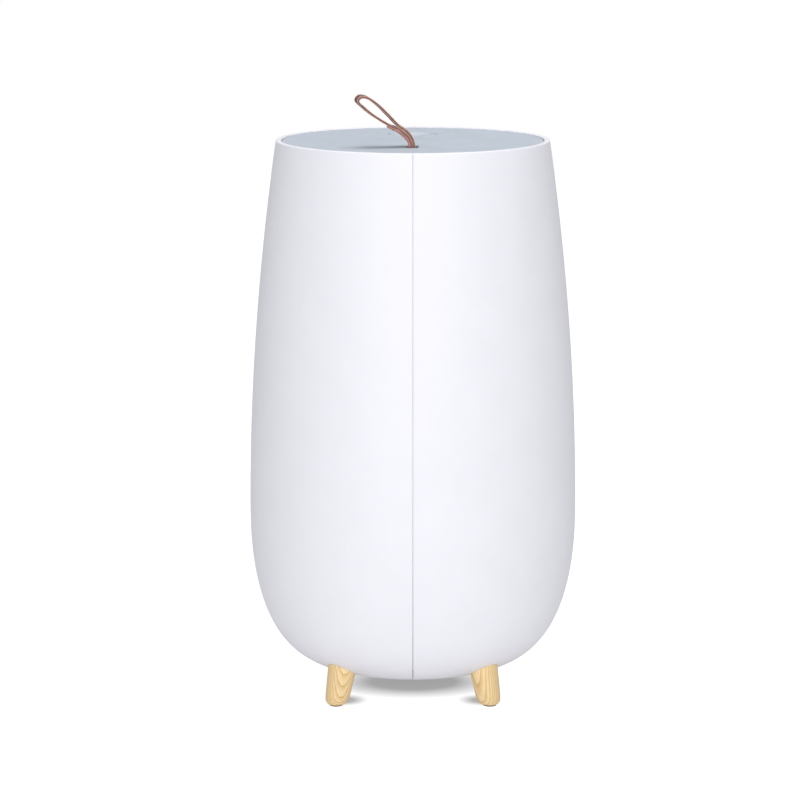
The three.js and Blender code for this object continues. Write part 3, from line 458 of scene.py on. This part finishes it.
def braided_wire():
    material, shader = new_material("sleeved_wire", Roughness=0.6)
    threads = {
        "Scale": 900,
        "Mortar Size": 0.03,
        "Vector": coordinates(material, turn=(0.4, 0.5, 0.7)),
        "Color1": (0.03, 0.03, 0.032, 1),
        "Color2": (0.06, 0.06, 0.065, 1),
        "Mortar": (0.008, 0.008, 0.008, 1),
    }
    weave = put(material, "ShaderNodeTexBrick", threads)
    link(material, weave.outputs["Color"], shader, "Base Color")
    link(material, bump(material, weave.outputs["Fac"], 0.1, 0.5), shader, "Normal")
    return material


def make_materials():
    return {
        "white_plastic": moulded("shell_plastic", (0.86, 0.855, 0.90), 0.52, 0.5, 0.012, 0.015),
        "lid_plastic": moulded("lid_plastic", (0.52, 0.575, 0.64), 0.50, 0.45, 0.03, 0.05),
        "grey_plastic": moulded("grey_plastic", (0.33, 0.34, 0.36), 0.5, 0.5, 0.03, 0.08),
        "dark_plastic": moulded("dark_plastic", (0.035, 0.037, 0.042), 0.45, 0.5, 0.03, 0.15),
        "light": moulded("light_guide", (0.86, 0.9, 0.95), 0.25, 1.2, 0.01, 0.03, Transmission_Weight=0.5),
        "tank_plastic": clear_tank(),
        "leather": leather_face(),
        "leather_edge": leather_edge(),
        "thread": thread_material(),
        "rubber": soft_rubber("foot_rubber", (0.03, 0.03, 0.031), 0.8),
        "silicone": soft_rubber("milky_silicone", (0.66, 0.68, 0.7), 0.45, Transmission_Weight=0.15),
        "steel": metal("zinc_steel", (0.62, 0.62, 0.64), 0.32, (1, 1, 1)),
        "aluminium": metal("cast_aluminium", (0.72, 0.73, 0.75), 0.38, (1, 1, 0.1)),
        "ceramic": ceramic(),
        "board": circuit_board(),
        "foam": filter_foam(),
        "wire": braided_wire(),
    }


# ---------------------------------------------------------------- mesh helpers


def quad(this_ring, next_ring, k, count):
    """The face between corner k and the one after it on two rings of count corners."""
    following = (k + 1) % count
    return [this_ring + k, this_ring + following, next_ring + following, next_ring + k]


def new_object(name, vertices, faces, material):
    mesh = bpy.data.meshes.new(name)
    mesh.from_pydata([Vector(v) * MM for v in vertices], [], faces)
    mesh.materials.append(material)
    obj = bpy.data.objects.new(name, mesh)
    bpy.context.scene.collection.objects.link(obj)
    return obj


def face_outwards(obj):
    shape = bmesh.new()
    shape.from_mesh(obj.data)
    bmesh.ops.recalc_face_normals(shape, faces=shape.faces)
    shape.to_mesh(obj.data)
    shape.free()
    return obj


def revolve(name, profile, segments, material, centre=(0, 0)):
    """Turns [radius, z] points round a vertical axis: from axis to axis, or a closed loop."""
    on_axis = profile[0][0] == 0 and profile[-1][0] == 0
    vertices, rings = [], []
    for r, z in profile:
        if r == 0:
            rings.append([len(vertices)] * segments)
            vertices.append((centre[0], centre[1], z))
            continue
        rings.append(list(range(len(vertices), len(vertices) + segments)))
        for k in range(segments):
            a = 2 * math.pi * k / segments
            vertices.append((centre[0] + r * math.cos(a), centre[1] + r * math.sin(a), z))
    pairs = list(zip(rings, rings[1:]))
    if not on_axis:
        pairs.append((rings[-1], rings[0]))
    faces = []
    for low, high in pairs:
        for k in range(segments):
            n = (k + 1) % segments
            corner = [low[k], low[n], high[n], high[k]]
            loop = [v for i, v in enumerate(corner) if v != corner[i - 1]]
            if len(loop) > 2:
                faces.append(loop)
    return face_outwards(new_object(name, vertices, faces, material))


def block(name, x, y, z, material, corner=0.0, steps=5):
    """An upright block between pairs of limits, with rounded upright corners."""
    centre = ((x[0] + x[1]) / 2, (y[0] + y[1]) / 2)
    half = ((x[1] - x[0]) / 2 - corner, (y[1] - y[0]) / 2 - corner)
    outline = []
    for sx, sy, first in ((1, 1, 0), (-1, 1, 90), (-1, -1, 180), (1, -1, 270)):
        for k in range(steps + 1 if corner else 1):
            a = math.radians(first + 90 * k / steps)
            across = centre[0] + sx * half[0] + corner * math.cos(a)
            outline.append((across, centre[1] + sy * half[1] + corner * math.sin(a)))
    n = len(outline)
    vertices = [(px, py, z[0]) for px, py in outline] + [(px, py, z[1]) for px, py in outline]
    faces = [[k, (k + 1) % n, n + (k + 1) % n, n + k] for k in range(n)]
    faces += [list(range(n))[::-1], list(range(n, 2 * n))]
    return face_outwards(new_object(name, vertices, faces, material))


def bake(obj):
    """Makes the result of an object's modifiers its own mesh."""
    evaluated = obj.evaluated_get(bpy.context.evaluated_depsgraph_get())
    mesh = bpy.data.meshes.new_from_object(evaluated)
    obj.modifiers.clear()
    obj.data = mesh
    return obj


def combine(obj, operation, *others):
    for other in others:
        modifier = obj.modifiers.new("combine", "BOOLEAN")
        modifier.operation = operation
        modifier.object = other
        modifier.solver = "EXACT"
        bake(obj)
        bpy.data.objects.remove(other)
    return obj


def soften(obj, width_mm=0.25, angle=40, segments=2):
    """Rounds the sharp edges, shades the rest smooth, and keeps flat faces flat."""
    modifier = obj.modifiers.new("soften", "BEVEL")
    modifier.width = width_mm * MM
    modifier.segments = segments
    modifier.limit_method = "ANGLE"
    modifier.angle_limit = math.radians(angle)
    bake(obj)
    smooth(obj)
    flatten = obj.modifiers.new("flatten", "WEIGHTED_NORMAL")
    flatten.mode = "FACE_AREA"
    flatten.keep_sharp = True
    return bake(obj)


def smooth(obj, angle=30):
    obj.data.shade_smooth()
    obj.data.set_sharp_from_angle(angle=math.radians(angle))
    return obj


def stands_for(obj, body, slot, *nodes):
    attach(obj, body)
    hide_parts(*nodes)
    return obj


# ---------------------------------------------------------------- the body


def body_point(s):
    """The outer curve, from the opening (0) through the widest circle (1) to the rim (2)."""
    if s > 1:
        u = s - 1
        return BODY_RADIUS - (BODY_RADIUS - RIM_RADIUS) * u**FLARE_POWER, WIDEST_Z + (RIM_Z - WIDEST_Z) * u
    start = math.asin((OPENING_RADIUS / BODY_RADIUS) ** (BOWL_RADIUS_POWER / 2))
    t = start + (math.pi / 2 - start) * s
    radius = BODY_RADIUS * math.sin(t) ** (2 / BOWL_RADIUS_POWER)
    return radius, WIDEST_Z - BOWL_DEPTH * max(math.cos(t), 0) ** (2 / BOWL_HEIGHT_POWER)


def body_curve(inset, bowl_steps=44, side_steps=36):
    nudge = 1e-3
    curve = []
    for i in range(bowl_steps + side_steps + 1):
        s = i / bowl_steps if i < bowl_steps else 1 + (i - bowl_steps) / side_steps
        r, z = body_point(s)
        r0, z0 = body_point(max(s - nudge, 0))
        r1, z1 = body_point(min(s + nudge, 2))
        length = math.hypot(r1 - r0, z1 - z0)
        curve.append((r - inset * (z1 - z0) / length, z + inset * (r1 - r0) / length))
    return curve


def radius_at(curve, z):
    for (r0, z0), (r1, z1) in zip(curve, curve[1:]):
        if z1 >= z:
            return r0 + (r1 - r0) * (z - z0) / (z1 - z0)
    return curve[-1][0]


RIM_ROUND = 0.7


def rim_round(centre_r, centre_z, first, last, radius=RIM_ROUND, steps=5):
    turns = [math.radians(first + (last - first) * k / steps) for k in range(steps + 1)]
    return [(centre_r + radius * math.cos(a), centre_z + radius * math.sin(a)) for a in turns]


def shell_profile(tuck):
    """One shell's section, with its outer face moved in by tuck for the rounded edge at the seam."""
    outer = [p for p in body_curve(tuck) if p[1] < RIM_Z - RIM_ROUND]
    rim_r = radius_at(body_curve(tuck), RIM_Z - RIM_ROUND)
    inner = body_curve(WALL)
    profile = outer + rim_round(rim_r - RIM_ROUND, RIM_Z - RIM_ROUND - tuck, 0, 90)
    profile += rim_round(RIM_INNER_RADIUS + 0.5, RIM_Z - 0.5 - tuck, 90, 180, 0.5)
    profile += [
        (RIM_INNER_RADIUS, LEDGE_Z),
        (LEDGE_RADIUS, LEDGE_Z),
        (LEDGE_RADIUS, LEDGE_Z - 2.5),
        (radius_at(inner, LEDGE_Z - 8), LEDGE_Z - 8),
    ]
    profile += [p for p in reversed(inner) if SHELF_Z + 2 < p[1] < LEDGE_Z - 10]
    profile += [
        (radius_at(inner, SHELF_Z), SHELF_Z),
        (SHELF_RADIUS, SHELF_Z),
        (SHELF_RADIUS, SHELF_Z - 4),
        (radius_at(inner, SHELF_Z - 10), SHELF_Z - 10),
    ]
    return profile + [p for p in reversed(inner) if p[1] < SHELF_Z - 12]


def half_shell(name, side, material, segments=88):
    """Half of the body on one side of the seam, which opens a little towards the bottom."""
    edge, end = 0.25, 0.06
    vertices, faces = [], []
    full, tucked = shell_profile(0), shell_profile(edge)
    rings = [(0, end, tucked), (0, end + edge * 0.3, shell_profile(edge * 0.3)), (0, end + edge, full)]
    turns = [(k / segments * math.pi, None, full) for k in range(1, segments)]
    plan = rings + turns + [(math.pi, x, p) for _, x, p in reversed(rings)]
    n = len(full)
    for angle, flat_x, profile in plan:
        for r, z in profile:
            if flat_x is None:
                x, y = side * r * math.sin(angle), -r * math.cos(angle)
            else:
                opened = 0.12 * min(max((150 - z) / 120, 0), 1)
                x, y = side * (flat_x + opened), -r if angle == 0 else r
            vertices.append((x, y, z))
    for i in range(len(plan) - 1):
        for k in range(n):
            m = (k + 1) % n
            faces.append([i * n + k, i * n + m, (i + 1) * n + m, (i + 1) * n + k])
    faces.append(list(range(n)))
    faces.append([(len(plan) - 1) * n + k for k in range(n)][::-1])
    return face_outwards(new_object(name, vertices, faces, material))


def seam_tongue(material):
    """The left shell's tongue, which closes the seam from inside at the front and at the back."""
    outer = [p for p in body_curve(1.9) if 27 < p[1] < 345]
    inner = [p for p in reversed(body_curve(WALL)) if 27 < p[1] < 345]
    section = outer + inner
    n = len(section)
    vertices, faces = [], []
    for side in (-1, 1):
        first = len(vertices)
        for x in (-3, 3):
            vertices += [(x, side * r, z) for r, z in section]
        faces += [[first + k, first + (k + 1) % n, first + n + (k + 1) % n, first + n + k] for k in range(n)]
        faces += [[first + k for k in range(n)], [first + n + k for k in range(n)]]
    return face_outwards(new_object("seam_tongue", vertices, faces, material))


def lying(obj, bearing, height):
    """Lays a piece made round Z down, pointing out from the body's axis on a bearing at a height."""
    turn = Matrix.Rotation(math.radians(bearing), 4, "Z") @ Matrix.Rotation(math.pi / 2, 4, "Y")
    obj.data.transform(Matrix.Translation((0, 0, height * MM)) @ turn)
    return obj


def pan_screw_holes(material, side):
    cutters = []
    for degrees in PAN_SCREW_ANGLES:
        a = math.radians(degrees)
        x, y = PAN_SCREW_RADIUS * math.cos(a), PAN_SCREW_RADIUS * math.sin(a)
        if x * side > 0:
            cutters.append(revolve("hole", [(0, 5), (3.5, 5), (3.5, 17.9), (0, 17.9)], 32, material, (x, y)))
    return cutters


def add_shells(paint):
    white = paint["white_plastic"]
    left = half_shell("shell_left_look", -1, white)
    button_hole = revolve("hole", [(0, 95), (11.3, 95), (11.3, 110), (0, 110)], 64, white)
    lying(button_hole, BUTTON_BEARING, BUTTON_Z)
    combine(left, "DIFFERENCE", button_hole, *pan_screw_holes(white, -1))
    stands_for(smooth(left), "housing", "white_plastic", "left_shell")
    tongue = smooth(seam_tongue(white))
    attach(tongue, "housing")

    right = half_shell("shell_right_look", 1, white)
    jack_hole = lying(revolve("hole", [(0, 75), (8.9, 75), (8.9, 100), (0, 100)], 64, white), 0, JACK_Z)
    combine(right, "DIFFERENCE", jack_hole, *pan_screw_holes(white, 1))
    stands_for(smooth(right), "housing", "white_plastic", "right_shell")


# ---------------------------------------------------------------- legs

# For each leg: how its growth rings are turned and tilted, where they are cut, and their spacing in mm.
LEG_GRAIN = (
    (-0.96, 0.1, (3, 0, -4), 1.0),
    (1.55, 0.012, (8, 4, 30), 1.35),
    (0.7, 0.1, (14, 2, 60), 1.2),
    (2.3, 0.15, (20, 8, 90), 1.1),
)


def leg_mesh(name, material):
    """A tapered round leg along +X from the body's axis, its foot rounded, in upright slices."""
    rise, flat_share, foot = 48, 0.62, 6.0
    heights = [LEG_BOTTOM_Z + foot * (1 - math.cos(math.pi / 2 * k / 12)) for k in range(12)]
    heights += [LEG_BOTTOM_Z + foot + (rise - foot) * k / 24 for k in range(25)]
    segments = 64
    vertices = []
    for z in heights:
        share = min((z - LEG_BOTTOM_Z) / foot, 1)
        radius = (LEG_RADIUS_AT_FLOOR + LEG_TAPER * z) * (
            flat_share + (1 - flat_share) * math.sqrt(1 - (1 - share) ** 2)
        )
        centre = LEG_FOOT_RADIUS - z * math.tan(LEG_SPLAY)
        for k in range(segments):
            a = 2 * math.pi * k / segments
            vertices.append((centre + radius / math.cos(LEG_SPLAY) * math.cos(a), radius * math.sin(a), z))
    faces = [
        quad(i * segments, (i + 1) * segments, k, segments)
        for i in range(len(heights) - 1)
        for k in range(segments)
    ]
    top = (len(heights) - 1) * segments
    faces += [list(range(segments))[::-1], list(range(top, top + segments))]
    return face_outwards(new_object(name, vertices, faces, material))


def add_legs(paint):
    for i, degrees in enumerate(LEG_ANGLES):
        pine = wood_material(f"pine_{i + 1}", degrees, *LEG_GRAIN[i])
        leg = leg_mesh(f"leg_{i + 1}_look", pine)
        body = revolve("cutter", [(0, 8), *body_curve(-0.12), (0, RIM_Z)], 144, pine)
        recess = revolve("cutter", [(0, -2), (4.5, -2), (4.5, 1.9), (0, 1.9)], 32, pine, (LEG_FOOT_RADIUS, 0))
        combine(leg, "DIFFERENCE", body, recess)
        smooth(leg, 35)
        leg.data.transform(Matrix.Rotation(math.radians(degrees), 4, "Z"))
        stands_for(leg, "housing", "wood", f"leg_{i + 1}")


# ---------------------------------------------------------------- lid and nozzle


def add_lid(paint):
    grey = paint["lid_plastic"]
    under = LID_TOP_Z - LID_THICKNESS
    edge = rim_round(LID_RADIUS - 0.6, LID_TOP_Z - 0.6, 0, 90, 0.6)
    plate = revolve("lid_look", [(0, under), (LID_RADIUS, under), *edge, (0, LID_TOP_Z)], 160, grey)
    x, y = STRAP_SLOT[0] / 2, STRAP_SLOT[1] / 2
    slot = block("slot", (-x, x), (STRAP_Y - y, STRAP_Y + y), (under - 2, LID_TOP_Z + 2), grey, 1.6)
    hole_r = NOZZLE_RADIUS + 0.35
    hole = revolve("hole", [(0, 345), (hole_r, 345), (hole_r, 360), (0, 360)], 96, grey, (0, MIST_Y))
    combine(plate, "DIFFERENCE", slot, hole)
    stands_for(soften(plate, 0.25), "lid", "lid_plastic", "lid_plate")

    liner_top = under - 0.3
    liner_under = liner_top - 2.7
    white = paint["white_plastic"]
    section = [
        (0, liner_under), (72.8, liner_under), (72.8, 334), (74.8, 334), (74.8, liner_under),
        (80, liner_under), (80, liner_top), (0, liner_top),
    ]
    liner = revolve("lid_liner_look", section, 128, white)
    ring = [(17.5, 334), (19.5, 334), (19.5, liner_under + 1), (17.5, liner_under + 1)]
    collar = revolve("collar", ring, 64, white, (0, MIST_Y))
    slot = block("slot", (-x - 1, x + 1), (STRAP_Y - y - 1, STRAP_Y + y + 1), (330, 360), white, 2)
    stem = revolve("hole", [(0, 330), (14.2, 330), (14.2, 360), (0, 360)], 64, white, (0, MIST_Y))
    combine(liner, "UNION", collar)
    combine(liner, "DIFFERENCE", slot, stem)
    stands_for(soften(liner, 0.25), "lid", "white_plastic", "lid_liner")


def add_nozzle(paint):
    grey = paint["lid_plastic"]
    under = LID_TOP_Z - LID_THICKNESS
    liner_under = under - 3
    section = [
        (0, under - 1.2), (11.6, under - 1.2), (11.6, liner_under - 2.6), (13.7, liner_under - 2.6),
        (14.9, liner_under - 1.4), (14.9, liner_under - 0.3), (13.7, liner_under - 0.3), (13.7, under),
        (NOZZLE_RADIUS, under), *rim_round(NOZZLE_RADIUS - 0.4, LID_TOP_Z - 0.4, 0, 90, 0.4, 3),
        (13.8, LID_TOP_Z), (13.2, LID_TOP_Z - 0.15), (10.5, LID_TOP_Z - 1.5), (7.5, LID_TOP_Z - 2.1),
        (0, LID_TOP_Z - 2.5),
    ]
    dish = revolve("mist_nozzle_look", section, 96, grey, (0, MIST_Y))
    disc = revolve("mouth", [(0, 340), (9.6, 340), (9.6, 360), (0, 360)], 64, grey, (0, MIST_Y))
    band = block("band", (-12, 12), (MIST_Y + 0.5, MIST_Y + 7.5), (338, 362), grey, 0.8)
    combine(disc, "INTERSECT", band)
    combine(dish, "DIFFERENCE", disc)
    stands_for(soften(dish, 0.2), "nozzle", "lid_plastic", "mist_nozzle")


# ---------------------------------------------------------------- strap

# The middle of the leather, x and z over the lid, from the anchor up the right strand, round the
# tip and back down the left strand.
STRAP_PATH = (
    (0.5, -9.6), (0.5, -6), (0.55, -2), (0.5, 2.2), (-0.7, 5.4), (-3.5, 9.1), (-9.2, 13.3), (-14.9, 19.1),
    (-22.6, 26.7), (-29.3, 31.2), (-33.4, 31.6), (-35.2, 29.2), (-31.6, 25.2), (-25.6, 20.3), (-19.9, 16.6),
    (-16.8, 14.7), (-13.4, 12.9), (-10.3, 11.8), (-4.75, 7.75), (-2.15, 4.6), (-1.1, 1.6), (-1.15, -2),
    (-1.2, -6), (-1.2, -9.6),
)
# The second layer, where the end is folded and sewn to the outside of the left strand.
END_LAYER_PATH = (
    (-15.6, 12.6), (-13.9, 11.7), (-11.1, 10.6), (-5.75, 6.75), (-3.35, 3.95), (-2.45, 1.3), (-2.5, 0.4)
)


def spline(points, per_span=8):
    """A centripetal Catmull-Rom curve through (x, z) points."""
    before = 2 * Vector(points[0]) - Vector(points[1])
    after = 2 * Vector(points[-1]) - Vector(points[-2])
    ends = [before, *map(Vector, points), after]
    made = []
    for p0, p1, p2, p3 in zip(ends, ends[1:], ends[2:], ends[3:]):
        t1 = (p1 - p0).length ** 0.5
        t2 = t1 + (p2 - p1).length ** 0.5
        t3 = t2 + (p3 - p2).length ** 0.5
        for k in range(per_span):
            t = t1 + (t2 - t1) * k / per_span
            a1 = p0 * ((t1 - t) / t1) + p1 * (t / t1)
            a2 = p1 * ((t2 - t) / (t2 - t1)) + p2 * ((t - t1) / (t2 - t1))
            a3 = p2 * ((t3 - t) / (t3 - t2)) + p3 * ((t - t2) / (t3 - t2))
            b1 = a1 * ((t2 - t) / t2) + a2 * (t / t2)
            b2 = a2 * ((t3 - t) / (t3 - t1)) + a3 * ((t - t1) / (t3 - t1))
            made.append(b1 * ((t2 - t) / (t2 - t1)) + b2 * ((t - t1) / (t2 - t1)))
    return [*made, Vector(points[-1])]


def twisted(x, across, z):
    """A point of the strap, turned round the upright through its slot as the strap rises."""
    share = min(max(z / 12, 0), 1)
    a = STRAP_TWIST * share * share * (3 - 2 * share)
    return (
        x * math.cos(a) - across * math.sin(a),
        STRAP_Y + x * math.sin(a) + across * math.cos(a),
        LID_TOP_Z + z,
    )


def band(name, path, thickness, width, face, edge):
    """A leather band along a path, its long edges rounded and its cut edges in their own material."""
    half, round_over = thickness / 2, min(0.35, thickness / 3)
    side = width / 2
    section = []
    for sx, sy, first in ((1, 1, 0), (-1, 1, 90), (-1, -1, 180), (1, -1, 270)):
        for k in range(4):
            a = math.radians(first + 30 * k)
            out = sx * (half - round_over) + round_over * math.cos(a)
            section.append((out, sy * (side - round_over) + round_over * math.sin(a)))
    n = len(section)
    line = spline(path)
    vertices = []
    for i, point in enumerate(line):
        run = (line[min(i + 1, len(line) - 1)] - line[max(i - 1, 0)]).normalized()
        normal = Vector((run.y, -run.x))
        for out, across in section:
            vertices.append(twisted(point.x + normal.x * out, across, point.y + normal.y * out))
    faces = [
        [i * n + k, i * n + (k + 1) % n, (i + 1) * n + (k + 1) % n, (i + 1) * n + k]
        for i in range(len(line) - 1)
        for k in range(n)
    ]
    faces += [list(range(n))[::-1], [(len(line) - 1) * n + k for k in range(n)]]
    obj = new_object(name, vertices, faces, face)
    obj.data.materials.append(edge)
    for polygon in obj.data.polygons:
        corners = {v % n for v in polygon.vertices}
        on_edge = corners <= {0, 1, 2, 3, 4, 5, 6, 7} and not corners <= {3, 4}
        on_edge = on_edge or (corners <= {8, 9, 10, 11, 12, 13, 14, 15} and not corners <= {11, 12})
        polygon.material_index = 1 if on_edge or len(polygon.vertices) > 4 else 0
    return face_outwards(obj)


def stitch(vertices, faces, start, end, lift):
    """A short round thread from start to end, bowed out along lift."""
    sides, rings = 8, 7
    first = len(vertices)
    run = (end - start).normalized()
    out = lift.normalized()
    side = run.cross(out)
    for i in range(rings):
        t = i / (rings - 1)
        bow = math.sin(math.pi * t)
        radius = 0.27 * (0.45 + 0.55 * bow**0.5)
        centre = start.lerp(end, t) + out * (0.22 * bow - 0.12)
        for k in range(sides):
            a = 2 * math.pi * k / sides
            vertices.append(tuple(centre + (out * math.cos(a) + side * math.sin(a)) * radius))
    for i in range(rings - 1):
        for k in range(sides):
            faces.append(quad(first + i * sides, first + (i + 1) * sides, k, sides))
    faces.append([first + k for k in range(sides)][::-1])
    faces.append([first + (rings - 1) * sides + k for k in range(sides)])


def strap_stitches(material):
    """Saddle stitches along both edges where the layers are sewn together."""
    right = [(-0.2, 4.2), (-3.5, 9.1), (-9.2, 13.3)]
    left = [(-13.9, 11.7), (-11.1, 10.6), (-5.75, 6.75), (-3.35, 3.95)]
    vertices, faces = [], []
    for path, out, lift in ((right, STRAP_LEATHER / 2, 1), (left, 0.5, -1)):
        line = spline(path, 24)
        lengths = [0.0]
        for a, b in zip(line, line[1:]):
            lengths.append(lengths[-1] + (b - a).length)
        count = int(lengths[-1] / 2.6)

        def at(distance):
            k = max(i for i, s in enumerate(lengths) if s <= distance)
            return min(k, len(line) - 2)

        for j in range(count):
            i0, i1 = at(j * 2.6 + 0.2), at(j * 2.6 + 2.1)
            for across in (-4.4, 4.4):
                run = (line[i1] - line[i0]).normalized()
                normal = Vector((-run.y, run.x))
                if normal.y * lift < 0:
                    normal = -normal
                holes = [line[i] + normal * out for i in (i0, i1)]
                ends = [Vector(twisted(hole.x, across, hole.y)) for hole in holes]
                stitch(vertices, faces, *ends, Vector((normal.x, 0, normal.y)))
    return face_outwards(new_object("strap_stitches", vertices, faces, material))


def add_strap(paint):
    face, edge = paint["leather"], paint["leather_edge"]
    loop = smooth(band("strap_look", STRAP_PATH, STRAP_LEATHER, STRAP_WIDTH, face, edge), 50)
    end_layer = smooth(band("strap_end_layer", END_LAYER_PATH, 1.1, STRAP_WIDTH, face, edge), 50)
    stitches = smooth(strap_stitches(paint["thread"]), 60)
    for piece in (loop, end_layer, stitches):
        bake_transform(piece)
    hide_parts("strap_loop", "strap_root")


# ---------------------------------------------------------------- tank and basin


def add_tank(paint):
    clear = paint["tank_plastic"]
    floor_top = TANK_BOTTOM_Z + 2.7
    bucket = revolve(
        "tank_look",
        [
            (0, TANK_BOTTOM_Z), (TANK_RADIUS - 1.2, TANK_BOTTOM_Z), (TANK_RADIUS, TANK_BOTTOM_Z + 1.2),
            (TANK_TOP_RADIUS, TANK_TOP_Z), (TANK_TOP_RADIUS - TANK_WALL, TANK_TOP_Z),
            (TANK_RADIUS - TANK_WALL, floor_top), (0, floor_top),
        ],
        128,
        clear,
    )
    low, high = CHIMNEY_BOTTOM_Z, TANK_TOP_Z
    outside = [(0, low), (17, low), (16, high), (0, high)]
    chimney = revolve("chimney", outside, 72, clear, (0, MIST_Y))
    bar = block("bar", (-77, 77), (-6, 6), (322, 331), clear, 1)
    inside = [(0, low - 1), (15, low - 1), (14, high + 1), (0, high + 1)]
    flue = revolve("flue", inside, 72, clear, (0, MIST_Y))
    port = revolve("port", [(0, 130), (9.4, 130), (9.4, 150), (0, 150)], 48, clear, (0, VALVE_Y))
    combine(bucket, "UNION", chimney, bar)
    combine(bucket, "DIFFERENCE", flue, port)
    stands_for(soften(bucket, 0.4), "tank", "tank_plastic", "water_tank")


# ---------------------------------------------------------------- carried-over CAD pieces


def finish_cad_nodes(paint):
    """Gives every CAD node still shown its material, merged edges, small rounds and smooth shading."""
    slots = {row["node"]: row["material_slot"] for row in frame["record"]["subparts"]}
    for name, obj in frame["nodes"].items():
        if obj.hide_render:
            continue
        obj.data.materials.clear()
        obj.data.materials.append(paint[slots[name]])
        if "custom_normal" in obj.data.attributes:
            obj.data.attributes.remove(obj.data.attributes["custom_normal"])
        obj.data.polygons.foreach_set("use_smooth", [True] * len(obj.data.polygons))
        weld = obj.modifiers.new("weld", "WELD")
        weld.merge_threshold = 0.01 * MM
        bevel = obj.modifiers.new("rounds", "BEVEL")
        bevel.width = 0.2 * MM
        bevel.segments = 2
        bevel.limit_method = "ANGLE"
        bevel.angle_limit = math.radians(40)
        split = obj.modifiers.new("split", "EDGE_SPLIT")
        split.split_angle = math.radians(35)
        split.use_edge_sharp = False


paint = make_materials()
add_camera()
add_studio()
add_shells(paint)
add_legs(paint)
add_lid(paint)
add_nozzle(paint)
add_strap(paint)
add_tank(paint)
finish_cad_nodes(paint)
